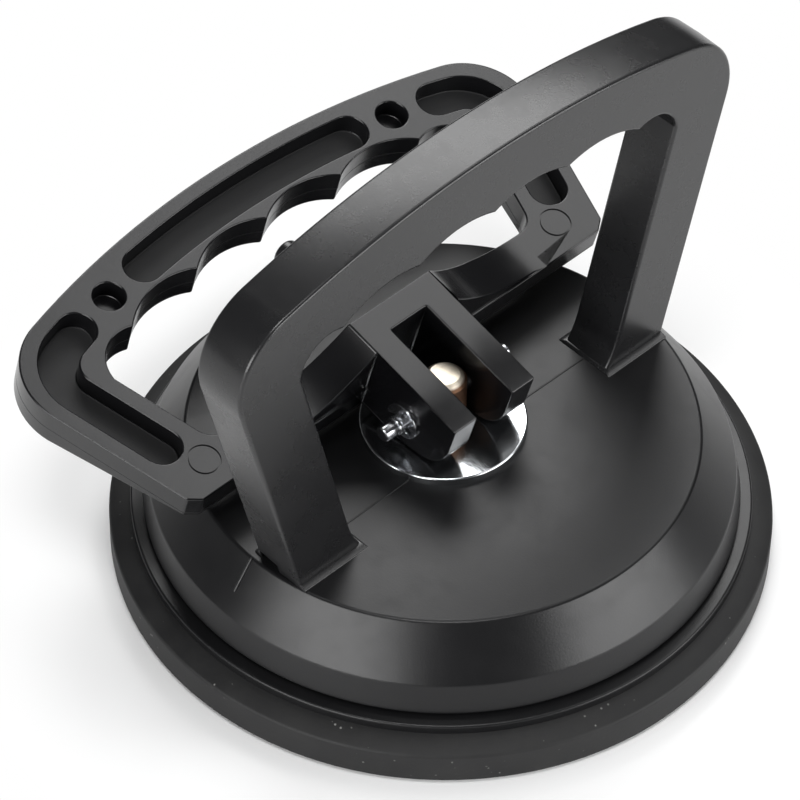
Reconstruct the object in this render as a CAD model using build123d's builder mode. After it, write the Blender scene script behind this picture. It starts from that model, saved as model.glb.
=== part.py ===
from build123d import *
import os
from math import cos, pi, radians, sin, sqrt, tan

os.makedirs("parts", exist_ok=True)

# Suction lifter with a fixed bail handle and a cam lever.
# +Z is up from the pad's face, +Y runs along the handle and -X points at the lever's grip.

# Pad, in millimetres
pad_radius = 60.0
pad_rim_height = 6.9
pad_foot_chamfer = 0.7
pad_edge_round = 0.6
pad_shoulder_height = 8.6
pad_web = 3.5
pad_brim = 3.9
pad_land = 7.6
pad_well_draft = 1.0

# Moulded housing
flange_height = 1.8
flange_chamfer = 0.4
groove_height = 0.8
groove_depth = 3.1
skirt_inset = 2.2
skirt_lean = 1.1
shoulder_height = 17.2
shoulder_round = 1.2
cone_width = 6.8
crease_height = 26.3
crease_chamfer = 0.4
crown_height = 26.8
housing_wall = 3.5
leg_root = 2.6
boss_wall = 3.9
boss_drop = 7.3
stud_clearance = 0.3

# Fixed handle, an arch that stands beside the pad's axis
arch_back = 0.4
arch_thickness = 10.5
arch_draft = 1.5
arch_above_pegs = 10.85
foot_inset = 1.1
arch_lean = 13.8
arch_crown_radius = 178.0
arch_corner_radius = 14.0
arch_grip_depth = 14.6
arch_leg_width = 13.2
arch_finger_depth = 1.9
arch_edge_chamfer = 0.5
arch_inner_radius = 5.2
arch_corner_run = 10.05
lip_edge = 0.3
lip_overhang = 1.2
lip_rise = 0.5
flare_width = 1.3
flare_height = 6.0
flare_shares = ((0.32, 0.42), (0.6, 0.15), (1.0, 0.0))
flare_start_share = 0.77
peg_radius = 2.5
peg_length = 4.2
peg_round = 0.6
shutoff_width = 4.6
shutoff_depth = 1.3
shutoff_height = 2.8
shutoff_drop = 0.6
shutoff_shift = 2.25
ridge_length = 7.0
ridge_radius = 0.35

# Wear washer under the cam
washer_radius = 15.0
washer_thickness = 1.5
washer_edge = 0.3
washer_hole_play = 0.6

# Lever: a two-tine cam fork with a closed grip
lever_tilt = 14.4
pin_above_washer = 6.5
cam_lift = 4.4
cam_gap = 0.3
nose_radius = 8.0
fork_rise = 9.3
tine_width = 5.45
slot_play = 0.3
slot_depth = 11.9
plate_drop = 1.7
plate_thickness = 8.0
front_thickness = 5.0
rail_taper_length = 28.7
grip_reach = 60.7
grip_crown_radius = 185.0
grip_corner_radius = 13.0
grip_inner_radius = 6.5
grip_depth = 13.7
grip_corner_run = 10.8
grip_finger_depth = 2.6
rail_front = 9.3
rail_front_half_width = 50.3
rail_lean = 16.5
rail_width = 13.2
rail_corner_chamfer = 1.8
rail_corner_block = 15.3
crossbar_width = 8.3
crossbar_corner_radius = 4.0
saddle_setback = 0.3
saddle_rear_draft = 0.4
saddle_dip_shares = (0.4, 0.34)
pocket_wall = 2.9
pocket_width = 7.2
pocket_depth = 4.4
pocket_start_gap = 4.2
bend_pocket_radius = 7.5
locating_hole_inset = 27.9
locating_hole_wall = 2.8
locating_hole_depth = 4.0
peg_play = 0.45

# Pivot pin and its two retaining clips
pin_radius = 1.8
pin_play = 0.05
pin_overhang = 5.4
clip_groove_radius = 1.35
clip_thickness = 0.7
clip_play = 0.05
collar_start = 1.6
collar_width = 0.9
tail_radius = 1.5
neck_radius = 1.55
pin_end_chamfer = 0.3
clip_radius = 3.6
clip_mouth = 2.3
clip_relief_radius = 0.75
clip_relief_share = 0.56
clip_relief_spread = 62.0
clip_turn = 215.0

# Draw stud and what it carries inside the housing
stud_radius = 4.0
stud_above_pin = 4.7
stud_top_chamfer = 1.1
plate_gap = 6.5
backing_thickness = 2.0
backing_edge = 0.5
nut_flats = 13.0
nut_height = 5.0
nut_play = 0.05
spring_wire = 1.6
spring_boss_gap = 0.8
spring_turns = 4.5
spring_play = 0.1
overrun = 1.0

# Heights, widths and places worked out from the sizes above
flange_radius = pad_radius - pad_brim
pad_well_radius = flange_radius - pad_land
groove_radius = flange_radius - groove_depth
skirt_radius = flange_radius - skirt_inset
shoulder_radius = skirt_radius - skirt_lean
crease_radius = shoulder_radius - cone_width
ceiling = crown_height - housing_wall
washer_top = crown_height + washer_thickness
pin_height = washer_top + pin_above_washer
stud_bore = stud_radius + stud_clearance
boss_radius = stud_bore + boss_wall
arch_foot = crease_radius - foot_inset
arch_offset = arch_back + arch_thickness / 2
tilt = radians(lever_tilt)
fork_reach = pin_above_washer + cam_lift - cam_gap
slot_width = 2 * (stud_radius + slot_play)
half_fork = slot_width / 2 + tine_width
crossbar_rear = rail_front + crossbar_width
saddle_front = rail_front + saddle_setback
saddle_top_rear = crossbar_rear - saddle_rear_draft
saddle_half_width = rail_front_half_width - rail_corner_block
plate_top = pad_web + backing_thickness


def crown(apex, radius, across):
    """Height of a shallow crown arc at a distance across from its middle."""
    return apex - radius + sqrt(radius**2 - across**2)


def crown_corner(foot, foot_height, lean, apex, radius):
    """Where a leaning side line meets the crown arc, as (across, height)."""
    slope = tan(radians(lean))
    centre = apex - radius
    start = foot - slope * (foot_height - centre)
    a, b, c = 1 + slope**2, 2 * slope * start, start**2 - radius**2
    rise = (-b + sqrt(b**2 - 4 * a * c)) / (2 * a)
    return start + slope * rise, centre + rise


def outer_face(foot, foot_height, lean, apex, radius, corner_radius, base):
    """Outer shape of a grip: two leaning sides under a crown, drawn down to the base height."""
    corner = crown_corner(foot, foot_height, lean, apex, radius)
    low = foot - tan(radians(lean)) * (foot_height - base)
    with BuildLine() as outline:
        Line((-low, base), (low, base))
        Line((low, base), corner)
        ThreePointArc(corner, (0, apex), (-corner[0], corner[1]))
        Line((-corner[0], corner[1]), (-low, base))
    make_face(outline.edges())
    fillet(vertices().group_by(Axis.Y)[-1], radius=corner_radius)


def inner_line(half_width, start_height, lean, height):
    """Distance across to a leaning inner side at a height."""
    return half_width + tan(radians(lean)) * (height - start_height)


def inside_corner(cusp, inner_radius, half_width, start_height, lean):
    """Middle and end of the rounded corner between the last cusp and the inner side."""
    height = cusp[1] - inner_radius
    side = inner_line(half_width, start_height, lean, height)
    turn = pi / 4
    middle = (side - inner_radius * (1 - cos(turn)), height + inner_radius * sin(turn))
    return middle, (side, height)


def finger_pitch(apex, depth, inner_radius, half_width, start_height, lean, corner_run):
    """Spacing of four fingers that fill the inner width but for a run at each corner."""
    side = inner_line(half_width, start_height, lean, apex - depth - inner_radius)
    return (side - corner_run) / 2


def mirrored(point):
    """The same point on the other side of the middle line."""
    return (-point[0], point[1])


def finger_edge(apex, radius, depth, pitch, finger_depth):
    """Cusps of a grip's scalloped inner edge and the deepest point between each pair."""
    cusps = [(i * pitch, crown(apex, radius, i * pitch) - depth) for i in (-2, -1, 0, 1, 2)]
    peaks = []
    for left, right in zip(cusps, cusps[1:]):
        middle = (left[0] + right[0]) / 2
        peaks.append((middle, crown(apex, radius, middle) - depth + finger_depth))
    return cusps, peaks


def scalloped_top(cusps, peaks):
    """Arcs from cusp to cusp along the fingers."""
    for left, peak, right in zip(cusps, peaks, cusps[1:]):
        ThreePointArc(left, peak, right)


# Suction pad: a flat sealing face, a thin web and a thick rim that carries the housing
with BuildPart() as suction_pad:
    with BuildSketch(Plane.XZ):
        with BuildLine():
            Polyline(
                (0, 0),
                (pad_radius - pad_foot_chamfer, 0),
                (pad_radius, pad_foot_chamfer),
                (pad_radius, pad_rim_height),
                (flange_radius, pad_shoulder_height),
                (pad_well_radius + pad_well_draft, pad_shoulder_height),
                (pad_well_radius, pad_web),
                (0, pad_web),
                (0, 0),
            )
        make_face()
    revolve(axis=Axis.Z)
    rim_edge = suction_pad.edges().filter_by(GeomType.CIRCLE).sort_by(SortBy.RADIUS)[-3:]
    fillet(rim_edge.sort_by(Axis.Z)[-1], radius=pad_edge_round)
suction_pad.part.label = "suction_pad"
export_step(suction_pad.part, "parts/suction_pad.step")

# The lever's holes sit on the middle line of its crown pocket, and the arch's pegs meet them
pocket_inset = pocket_wall + pocket_width / 2
pocket_apex = grip_reach - pocket_inset
pocket_crown_radius = grip_crown_radius - pocket_inset
grip_corner = crown_corner(
    rail_front_half_width, rail_front, rail_lean, grip_reach, grip_crown_radius
)
locating_hole_across = grip_corner[0] - locating_hole_inset
locating_hole_reach = crown(pocket_apex, pocket_crown_radius, locating_hole_across)
locating_height = pin_height + cam_lift + locating_hole_reach
arch_height = locating_height + arch_above_pegs

# Housing: the handle's arch first, then its feet, then the dome turned under it
arch_plane = Plane.YZ.offset(arch_offset)
arch_base = crown_height - leg_root
leg_across = arch_leg_width / cos(radians(arch_lean))
inner_foot = arch_foot - leg_across
arch_finger_pitch = finger_pitch(
    arch_height, arch_grip_depth, arch_inner_radius, inner_foot, crown_height, arch_lean,
    arch_corner_run,
)
arch_cusps, arch_peaks = finger_edge(
    arch_height, arch_crown_radius, arch_grip_depth, arch_finger_pitch, arch_finger_depth
)
arch_corner_mid, arch_corner_end = inside_corner(
    arch_cusps[-1], arch_inner_radius, inner_foot, crown_height, arch_lean
)
gap_base = arch_base - overrun
gap_foot = (inner_line(inner_foot, crown_height, arch_lean, gap_base), gap_base)
flange_top = pad_shoulder_height + flange_height
skirt_foot = flange_top + groove_height


def foot_section(side, height, overhang, flare):
    """Outline of one foot cut level at a height, wider to front and back and flared inwards."""
    inner = inner_line(inner_foot, crown_height, arch_lean, height) - flare
    across = leg_across + flare
    with BuildSketch(Plane.XY.offset(height), mode=Mode.PRIVATE) as section:
        with Locations((arch_offset, side * (inner + across / 2))):
            Rectangle(arch_thickness + 2 * overhang, across)
    return section.sketch.face()


with BuildPart() as housing:
    with BuildSketch(arch_plane) as arch_outline:
        outer_face(
            arch_foot, crown_height, arch_lean, arch_height, arch_crown_radius,
            arch_corner_radius, arch_base,
        )
        with BuildLine() as finger_gap:
            scalloped_top(arch_cusps, arch_peaks)
            ThreePointArc(arch_cusps[-1], arch_corner_mid, arch_corner_end)
            Polyline(arch_corner_end, gap_foot, mirrored(gap_foot), mirrored(arch_corner_end))
            ThreePointArc(mirrored(arch_corner_end), mirrored(arch_corner_mid), arch_cusps[0])
        make_face(mode=Mode.SUBTRACT)
    extrude(amount=arch_thickness / 2, taper=arch_draft)
    extrude(arch_outline.sketch, amount=-arch_thickness / 2, taper=arch_draft)
    for flat in (housing.faces().sort_by(Axis.X)[-1], housing.faces().sort_by(Axis.X)[0]):
        rims = flat.edges().filter_by(lambda edge: edge.center().Z > crown_height)
        chamfer(rims, length=arch_edge_chamfer)

    # Two pegs on the back of the arch that locate the raised lever
    with BuildSketch(Plane.YZ.offset(arch_offset)):
        with Locations(
            (locating_hole_across, locating_height), (-locating_hole_across, locating_height)
        ):
            Circle(peg_radius)
    extrude(amount=-arch_thickness / 2 - peg_length)
    fillet(housing.faces().sort_by(Axis.X)[0:2].edges(), radius=peg_round)

    # A thin lip round each foot, and the hollow flare of the leg's inner side down to it
    lip_height = crease_height + lip_edge
    for side in (-1, 1):
        lip_face = foot_section(side, lip_height, lip_overhang, flare_width)
        flare_face = foot_section(
            side, lip_height + lip_rise, 0, flare_start_share * flare_width
        )
        loft((foot_section(side, arch_base, lip_overhang, flare_width), lip_face), ruled=True)
        loft((lip_face, flare_face), ruled=True)
        flare_faces = [
            foot_section(side, lip_height + rise * flare_height, 0, share * flare_width)
            for rise, share in flare_shares
        ]
        loft([flare_face, *flare_faces])

    # Dome, skirt, groove and flange as one turned shell, open underneath
    with BuildSketch(Plane.XZ) as shell:
        with BuildLine():
            Polyline(
                (0, ceiling - boss_drop),
                (boss_radius, ceiling - boss_drop),
                (boss_radius, ceiling),
                (crease_radius - housing_wall / 2, ceiling),
                (shoulder_radius - housing_wall, shoulder_height - housing_wall / 2),
                (skirt_radius - housing_wall, pad_shoulder_height),
                (flange_radius, pad_shoulder_height),
                (flange_radius, flange_top),
                (groove_radius, flange_top),
                (groove_radius, skirt_foot),
                (skirt_radius, skirt_foot),
                (shoulder_radius, shoulder_height),
                (crease_radius, crease_height),
                (washer_radius + washer_edge, crown_height),
                (0, crown_height),
                (0, ceiling - boss_drop),
            )
        make_face()
        shoulder = shell.vertices().sort_by_distance((shoulder_radius, shoulder_height))[0]
        fillet(shoulder, radius=shoulder_round)
        for corner, length in (
            ((flange_radius, flange_top), flange_chamfer),
            ((crease_radius, crease_height), crease_chamfer),
        ):
            chamfer(shell.vertices().sort_by_distance(corner)[0], length=length)
    revolve(axis=Axis.Z)
    with BuildSketch(Plane.XY.offset(crown_height)):
        Circle(stud_bore)
    extrude(amount=-housing_wall - boss_drop, mode=Mode.SUBTRACT)

    # Shut-off recess at the outer side of one foot, and the fine ridge that runs down from it
    with BuildSketch(Plane.XZ.offset(arch_foot + overrun)):
        with Locations(
            (arch_offset - shutoff_shift, crease_height - shutoff_drop + shutoff_height / 2)
        ):
            Rectangle(shutoff_width, shutoff_height)
    extrude(amount=-overrun - shutoff_depth, mode=Mode.SUBTRACT)
    ridge_start = (0, -crease_radius, crease_height)
    down_cone = (0, -cone_width, shoulder_height - crease_height)
    with BuildSketch(Plane(origin=ridge_start, z_dir=down_cone)):
        Circle(ridge_radius)
    extrude(amount=ridge_length)
housing.part.label = "housing"
export_step(housing.part, "parts/housing.step")

# Wear washer that the cam rides on
with BuildPart() as wear_washer:
    with BuildSketch(Plane.XY.offset(crown_height)):
        Circle(washer_radius)
        Circle(stud_radius + washer_hole_play, mode=Mode.SUBTRACT)
    extrude(amount=washer_thickness)
    chamfer(wear_washer.edges().group_by(Axis.Z)[-1], length=washer_edge)
wear_washer.part.label = "wear_washer"
export_step(wear_washer.part, "parts/wear_washer.step")

# The lever's own planes through the pin: one seen from above, one seen from the near side.
# Across runs along the pin, reach runs towards the grip and ahead runs towards the tine ends.
pin_centre = (0, 0, pin_height)
lever_plane = Plane(origin=pin_centre, x_dir=(0, 1, 0), z_dir=(sin(tilt), 0, cos(tilt)))
side_plane = Plane(origin=pin_centre, x_dir=(cos(tilt), 0, -sin(tilt)), z_dir=(0, -1, 0))
plate_base = plate_drop + plate_thickness
fork_base = plate_drop + front_thickness
rail_inner_foot = rail_front_half_width - rail_width / cos(radians(rail_lean))
grip_finger_pitch = finger_pitch(
    grip_reach, grip_depth, grip_inner_radius, rail_inner_foot, rail_front, rail_lean,
    grip_corner_run,
)
grip_cusps, grip_peaks = finger_edge(
    grip_reach, grip_crown_radius, grip_depth, grip_finger_pitch, grip_finger_depth
)
grip_corner_mid, grip_corner_end = inside_corner(
    grip_cusps[-1], grip_inner_radius, rail_inner_foot, rail_front, rail_lean
)
crossbar_side = inner_line(rail_inner_foot, rail_front, rail_lean, crossbar_rear)
saddle_dip = (
    half_fork + saddle_dip_shares[0] * (saddle_half_width - half_fork),
    saddle_dip_shares[1] * (fork_rise + plate_drop) - plate_drop,
)

# Cam nose: a round end that runs into a facet lying level while the lever is released
nose_centre = fork_reach - nose_radius
nose_end = (nose_centre + nose_radius * sin(tilt), nose_centre - nose_radius * cos(tilt))
half_turn = (pi / 2 - tilt) / 2
nose_mid = (nose_centre + nose_radius * cos(half_turn), nose_centre - nose_radius * sin(half_turn))
facet_rear = nose_end[0] - (nose_end[1] + fork_base) / tan(tilt)

# Middle lines of the pockets, which stop short of the blind holes
rail_middle_foot = rail_front_half_width - pocket_inset / cos(radians(rail_lean))
pocket_corner = crown_corner(
    rail_middle_foot, rail_front, rail_lean, pocket_apex, pocket_crown_radius
)
locating_hole_radius = peg_radius + peg_play
pocket_stop = locating_hole_radius + locating_hole_wall + pocket_width / 2
long_end = locating_hole_across - pocket_stop
bend_pocket_end = locating_hole_across + pocket_stop
bend_pocket_start = crossbar_rear + pocket_start_gap

with BuildPart() as lever:
    # Ring plate with the fingered opening
    with BuildSketch(lever_plane.offset(-plate_drop)) as ring_outline:
        outer_face(
            rail_front_half_width, rail_front, rail_lean, grip_reach, grip_crown_radius,
            grip_corner_radius, rail_front,
        )
        chamfer(ring_outline.vertices().group_by(Axis.Y)[0], length=rail_corner_chamfer)
    extrude(amount=-plate_thickness)
    with BuildSketch(lever_plane.offset(fork_rise)) as opening:
        with BuildLine():
            scalloped_top(grip_cusps, grip_peaks)
            ThreePointArc(grip_cusps[-1], grip_corner_mid, grip_corner_end)
            Polyline(
                grip_corner_end,
                (crossbar_side, crossbar_rear),
                (-crossbar_side, crossbar_rear),
                mirrored(grip_corner_end),
            )
            ThreePointArc(mirrored(grip_corner_end), mirrored(grip_corner_mid), grip_cusps[0])
        make_face()
        for side in (-1, 1):
            corner = opening.vertices().sort_by_distance((side * crossbar_side, crossbar_rear))[0]
            fillet(corner, radius=crossbar_corner_radius)
    extrude(amount=-fork_rise - plate_base - overrun, mode=Mode.SUBTRACT)

    # Underside rises towards the fork
    with BuildSketch(side_plane):
        taper_slope = (plate_thickness - front_thickness) / rail_taper_length
        taper_rear = rail_front + rail_taper_length
        taper_run = taper_rear + overrun
        with BuildLine():
            Polyline(
                (-taper_rear, -plate_base),
                (taper_run - taper_rear, taper_run * taper_slope - plate_base),
                (taper_run - taper_rear, -plate_base - overrun),
                (-taper_rear, -plate_base - overrun),
                close=True,
            )
        make_face()
    extrude(amount=rail_front_half_width + grip_reach, both=True, mode=Mode.SUBTRACT)

    # Saddle whose hollow flanks sweep up from the rails' corner blocks to the fork
    cross_plane = Plane(
        origin=side_plane.from_local_coords((-crossbar_rear, 0, 0)),
        x_dir=(0, 1, 0),
        z_dir=side_plane.x_dir,
    )
    with BuildSketch(cross_plane):
        with BuildLine():
            ThreePointArc(
                (saddle_half_width, -plate_drop), saddle_dip, (half_fork, fork_rise)
            )
            Line((half_fork, fork_rise), (-half_fork, fork_rise))
            ThreePointArc(
                (-half_fork, fork_rise), mirrored(saddle_dip), (-saddle_half_width, -plate_drop)
            )
            Polyline(
                (-saddle_half_width, -plate_drop),
                (-saddle_half_width, -fork_base),
                (saddle_half_width, -fork_base),
                (saddle_half_width, -plate_drop),
            )
        make_face()
    extrude(amount=crossbar_rear - saddle_front)
    with BuildSketch(side_plane):
        with BuildLine():
            Polyline(
                (-saddle_top_rear, fork_rise),
                (-saddle_top_rear, fork_rise + overrun),
                (-crossbar_rear - overrun, fork_rise + overrun),
                (-crossbar_rear - overrun, -plate_drop),
                (-crossbar_rear, -plate_drop),
                close=True,
            )
        make_face()
    extrude(amount=saddle_half_width + overrun, both=True, mode=Mode.SUBTRACT)

    # Fork with its cam noses
    with BuildSketch(side_plane):
        with BuildLine():
            ThreePointArc((fork_reach, nose_centre), nose_mid, nose_end)
            Polyline(
                nose_end,
                (facet_rear, -fork_base),
                (-crossbar_rear, -fork_base),
                (-crossbar_rear, -plate_drop),
                (-saddle_top_rear, fork_rise),
                (fork_reach, fork_rise),
                (fork_reach, nose_centre),
            )
        make_face()
    extrude(amount=half_fork, both=True)
    with BuildSketch(lever_plane.offset(fork_rise)):
        with BuildLine():
            Polyline(
                (-slot_width / 2, slot_depth),
                (slot_width / 2, slot_depth),
                (slot_width / 2, -fork_reach - overrun),
                (-slot_width / 2, -fork_reach - overrun),
                close=True,
            )
        make_face()
    extrude(amount=-fork_rise - plate_base - overrun, mode=Mode.SUBTRACT)
    with BuildSketch(side_plane):
        Circle(pin_radius + pin_play)
    extrude(amount=half_fork + overrun, both=True, mode=Mode.SUBTRACT)

    # Cored pockets along the rails and crown, and blind holes for the arch's pegs
    with BuildSketch(lever_plane.offset(-plate_drop)):
        with BuildLine(mode=Mode.PRIVATE) as long_line:
            ThreePointArc(
                (-long_end, crown(pocket_apex, pocket_crown_radius, long_end)),
                (0, pocket_apex),
                (long_end, crown(pocket_apex, pocket_crown_radius, long_end)),
            )
        SlotArc(long_line.edge(), height=pocket_width)
        for side in (-1, 1):
            with BuildLine(mode=Mode.PRIVATE) as bend_line:
                FilletPolyline(
                    (
                        side * inner_line(
                            rail_middle_foot, rail_front, rail_lean, bend_pocket_start
                        ),
                        bend_pocket_start,
                    ),
                    (side * pocket_corner[0], pocket_corner[1]),
                    (
                        side * bend_pocket_end,
                        crown(pocket_apex, pocket_crown_radius, bend_pocket_end),
                    ),
                    radius=bend_pocket_radius,
                )
            SlotArc(bend_line.wire(), height=pocket_width)
    extrude(amount=-pocket_depth, mode=Mode.SUBTRACT)
    with BuildSketch(lever_plane.offset(-plate_drop)):
        with Locations(
            (locating_hole_across, locating_hole_reach),
            (-locating_hole_across, locating_hole_reach),
        ):
            Circle(locating_hole_radius)
    extrude(amount=-locating_hole_depth, mode=Mode.SUBTRACT)
lever.part.label = "lever"
export_step(lever.part, "parts/lever.step")

# Pivot pin: both ends carry a groove, a collar and a slimmer tail
clip_groove = clip_thickness + 2 * clip_play
pin_end = half_fork + pin_overhang
collar_end = half_fork + collar_start + collar_width
pin_profile = [
    (half_fork - clip_play, pin_radius),
    (half_fork - clip_play, clip_groove_radius),
    (half_fork - clip_play + clip_groove, clip_groove_radius),
    (half_fork - clip_play + clip_groove, neck_radius),
    (half_fork + collar_start, neck_radius),
    (half_fork + collar_start, pin_radius),
    (collar_end, pin_radius),
    (collar_end, tail_radius),
    (pin_end - pin_end_chamfer, tail_radius),
    (pin_end, tail_radius - pin_end_chamfer),
    (pin_end, 0),
]
with BuildPart() as pivot_pin:
    with BuildSketch(lever_plane):
        with BuildLine():
            Polyline(*pin_profile, *[mirrored(point) for point in pin_profile[::-1]], close=True)
        make_face()
    revolve(axis=Axis(pin_centre, (0, 1, 0)))
pivot_pin.part.label = "pivot_pin"
export_step(pivot_pin.part, "parts/pivot_pin.step")


def clip_face(base):
    """An E-clip's open ring on its plane, with its mouth and the relief each side of the grip."""
    with BuildSketch(base) as face:
        Circle(clip_radius)
        Circle(clip_groove_radius + clip_play, mode=Mode.SUBTRACT)
        with BuildSketch(mode=Mode.PRIVATE) as mouth:
            with Locations((clip_radius / 2, 0)):
                Rectangle(clip_radius, clip_mouth)
        add(mouth.sketch.rotate(Axis.Z, clip_turn), mode=Mode.SUBTRACT)
        with PolarLocations(
            clip_relief_share * clip_radius,
            2,
            start_angle=clip_turn + 180 - clip_relief_spread,
            angular_range=4 * clip_relief_spread,
        ):
            Circle(clip_relief_radius, mode=Mode.SUBTRACT)
    return face.sketch


with BuildPart() as e_clip_near:
    extrude(clip_face(side_plane.offset(half_fork)), amount=clip_thickness)
e_clip_near.part.label = "e_clip_near"
export_step(e_clip_near.part, "parts/e_clip_near.step")

with BuildPart() as e_clip_far:
    extrude(clip_face(side_plane.offset(-half_fork)), amount=-clip_thickness)
e_clip_far.part.label = "e_clip_far"
export_step(e_clip_far.part, "parts/e_clip_far.step")

# Draw stud, crossed by the pin
stud_top = pin_height + stud_above_pin
with BuildPart() as draw_stud:
    with BuildSketch(Plane.XY.offset(pad_web)):
        Circle(stud_radius)
    extrude(amount=stud_top - pad_web)
    chamfer(draw_stud.edges().group_by(Axis.Z)[-1], length=stud_top_chamfer)
    with BuildSketch(side_plane):
        Circle(pin_radius + pin_play)
    extrude(amount=stud_radius + overrun, both=True, mode=Mode.SUBTRACT)
draw_stud.part.label = "draw_stud"
export_step(draw_stud.part, "parts/draw_stud.step")

# Backing plate on the pad's web and the nut that locks it to the stud
with BuildPart() as backing_plate:
    with BuildSketch(Plane.XY.offset(pad_web)):
        Circle(pad_well_radius - plate_gap)
        Circle(stud_radius + nut_play, mode=Mode.SUBTRACT)
    extrude(amount=backing_thickness)
    rim = backing_plate.edges().group_by(Axis.Z)[-1].sort_by(SortBy.RADIUS)[-1]
    chamfer(rim, length=backing_edge)
backing_plate.part.label = "backing_plate"
export_step(backing_plate.part, "parts/backing_plate.step")

with BuildPart() as lock_nut:
    with BuildSketch(Plane.XY.offset(plate_top)):
        RegularPolygon(nut_flats / 2, 6, major_radius=False)
        Circle(stud_radius + nut_play, mode=Mode.SUBTRACT)
    extrude(amount=nut_height)
lock_nut.part.label = "lock_nut"
export_step(lock_nut.part, "parts/lock_nut.step")

# Return spring between the backing plate and the housing's ceiling
spring_base = plate_top + spring_play + spring_wire / 2
spring_height = ceiling - plate_top - 2 * spring_play - spring_wire
spring_radius = boss_radius + spring_boss_gap + spring_wire / 2
with BuildPart() as return_spring:
    with BuildLine(Plane.XY.offset(spring_base)) as coil:
        Helix(spring_height / spring_turns, spring_height, spring_radius)
    with BuildSketch(Plane(origin=coil.edge() @ 0, z_dir=coil.edge() % 0)):
        RegularPolygon(spring_wire / 2, 8)
    sweep(is_frenet=True)
return_spring.part.label = "return_spring"
export_step(return_spring.part, "parts/return_spring.step")
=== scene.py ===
from math import acos, atan2, ceil, cos, pi, radians, sin, sqrt, tan

import bpy
from bpy.props import FloatProperty, FloatVectorProperty, IntProperty, PointerProperty
from mathutils import Matrix, Vector


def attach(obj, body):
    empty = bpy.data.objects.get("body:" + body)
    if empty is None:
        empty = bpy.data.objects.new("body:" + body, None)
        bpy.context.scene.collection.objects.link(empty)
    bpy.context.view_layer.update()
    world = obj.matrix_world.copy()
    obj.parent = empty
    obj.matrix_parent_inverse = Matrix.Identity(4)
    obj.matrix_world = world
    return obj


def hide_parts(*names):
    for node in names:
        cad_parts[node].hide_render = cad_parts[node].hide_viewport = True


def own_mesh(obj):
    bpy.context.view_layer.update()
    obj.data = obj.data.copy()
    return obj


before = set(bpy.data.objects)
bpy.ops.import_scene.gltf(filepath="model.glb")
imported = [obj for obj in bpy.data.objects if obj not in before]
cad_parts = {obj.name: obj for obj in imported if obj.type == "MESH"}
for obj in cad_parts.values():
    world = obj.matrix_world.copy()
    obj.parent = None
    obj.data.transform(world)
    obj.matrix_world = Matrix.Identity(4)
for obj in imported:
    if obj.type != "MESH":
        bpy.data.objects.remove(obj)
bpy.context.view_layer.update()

bl_info = {
    "name": "Floor tile suction lifter",
    "version": (1, 0, 0),
    "blender": (4, 5, 0),
    "location": "View3D > Sidebar > Suction lifter",
    "description": "Models a tile suction lifter: pad, housing, handle, cam lever and pin",
    "category": "Add Mesh",
}

X, Y, Z = Vector((1, 0, 0)), Vector((0, 1, 0)), Vector((0, 0, 1))
SIDES = ((-1, "near"), (1, "far"))

# How far a drawn arc may lie off its true curve, and how near points are merged, in metres
DRAWING_ERROR = 0.000012
MERGE_DISTANCE = 2e-6


def size(label, about, millimetres):
    """A length that the user can change, given in millimetres and kept in metres."""
    return FloatProperty(
        name=label, description=about, default=millimetres / 1000, min=0, precision=5,
        unit="LENGTH", subtype="DISTANCE",
    )


def turn(label, about, degrees_):
    """An angle that the user can change."""
    return FloatProperty(
        name=label, description=about, default=radians(degrees_), unit="ROTATION", subtype="ANGLE"
    )


def share(label, about, default):
    """A share from 0 to 1 that the user can change."""
    return FloatProperty(
        name=label, description=about, default=default, min=0, max=1, subtype="FACTOR"
    )


def colour(label, about, default):
    """A colour that the user can change."""
    return FloatVectorProperty(
        name=label, description=about, default=default, min=0, max=1, size=3, subtype="COLOR"
    )


class PadSizes(bpy.types.PropertyGroup):
    """Rubber pad"""

    radius: size("Radius", "Outer radius of the sealing face", 60.0)
    foot_chamfer: size("Foot chamfer", "Bevel where the rim meets the tile", 0.7)
    rim_height: size("Rim height", "Height of the rim's outer edge", 6.9)
    rim_round: size("Rim round", "Radius of the rim's outer edge", 0.8)
    shoulder_height: size("Shoulder height", "Where the pad meets the housing's flange", 8.6)
    web: size("Web", "Thickness of the flexing face", 3.5)
    well_radius: size("Well radius", "Radius of the hollow behind the sealing face", 48.5)
    well_draft: size("Well draft", "How much wider the hollow is at its top", 1.0)


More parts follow.
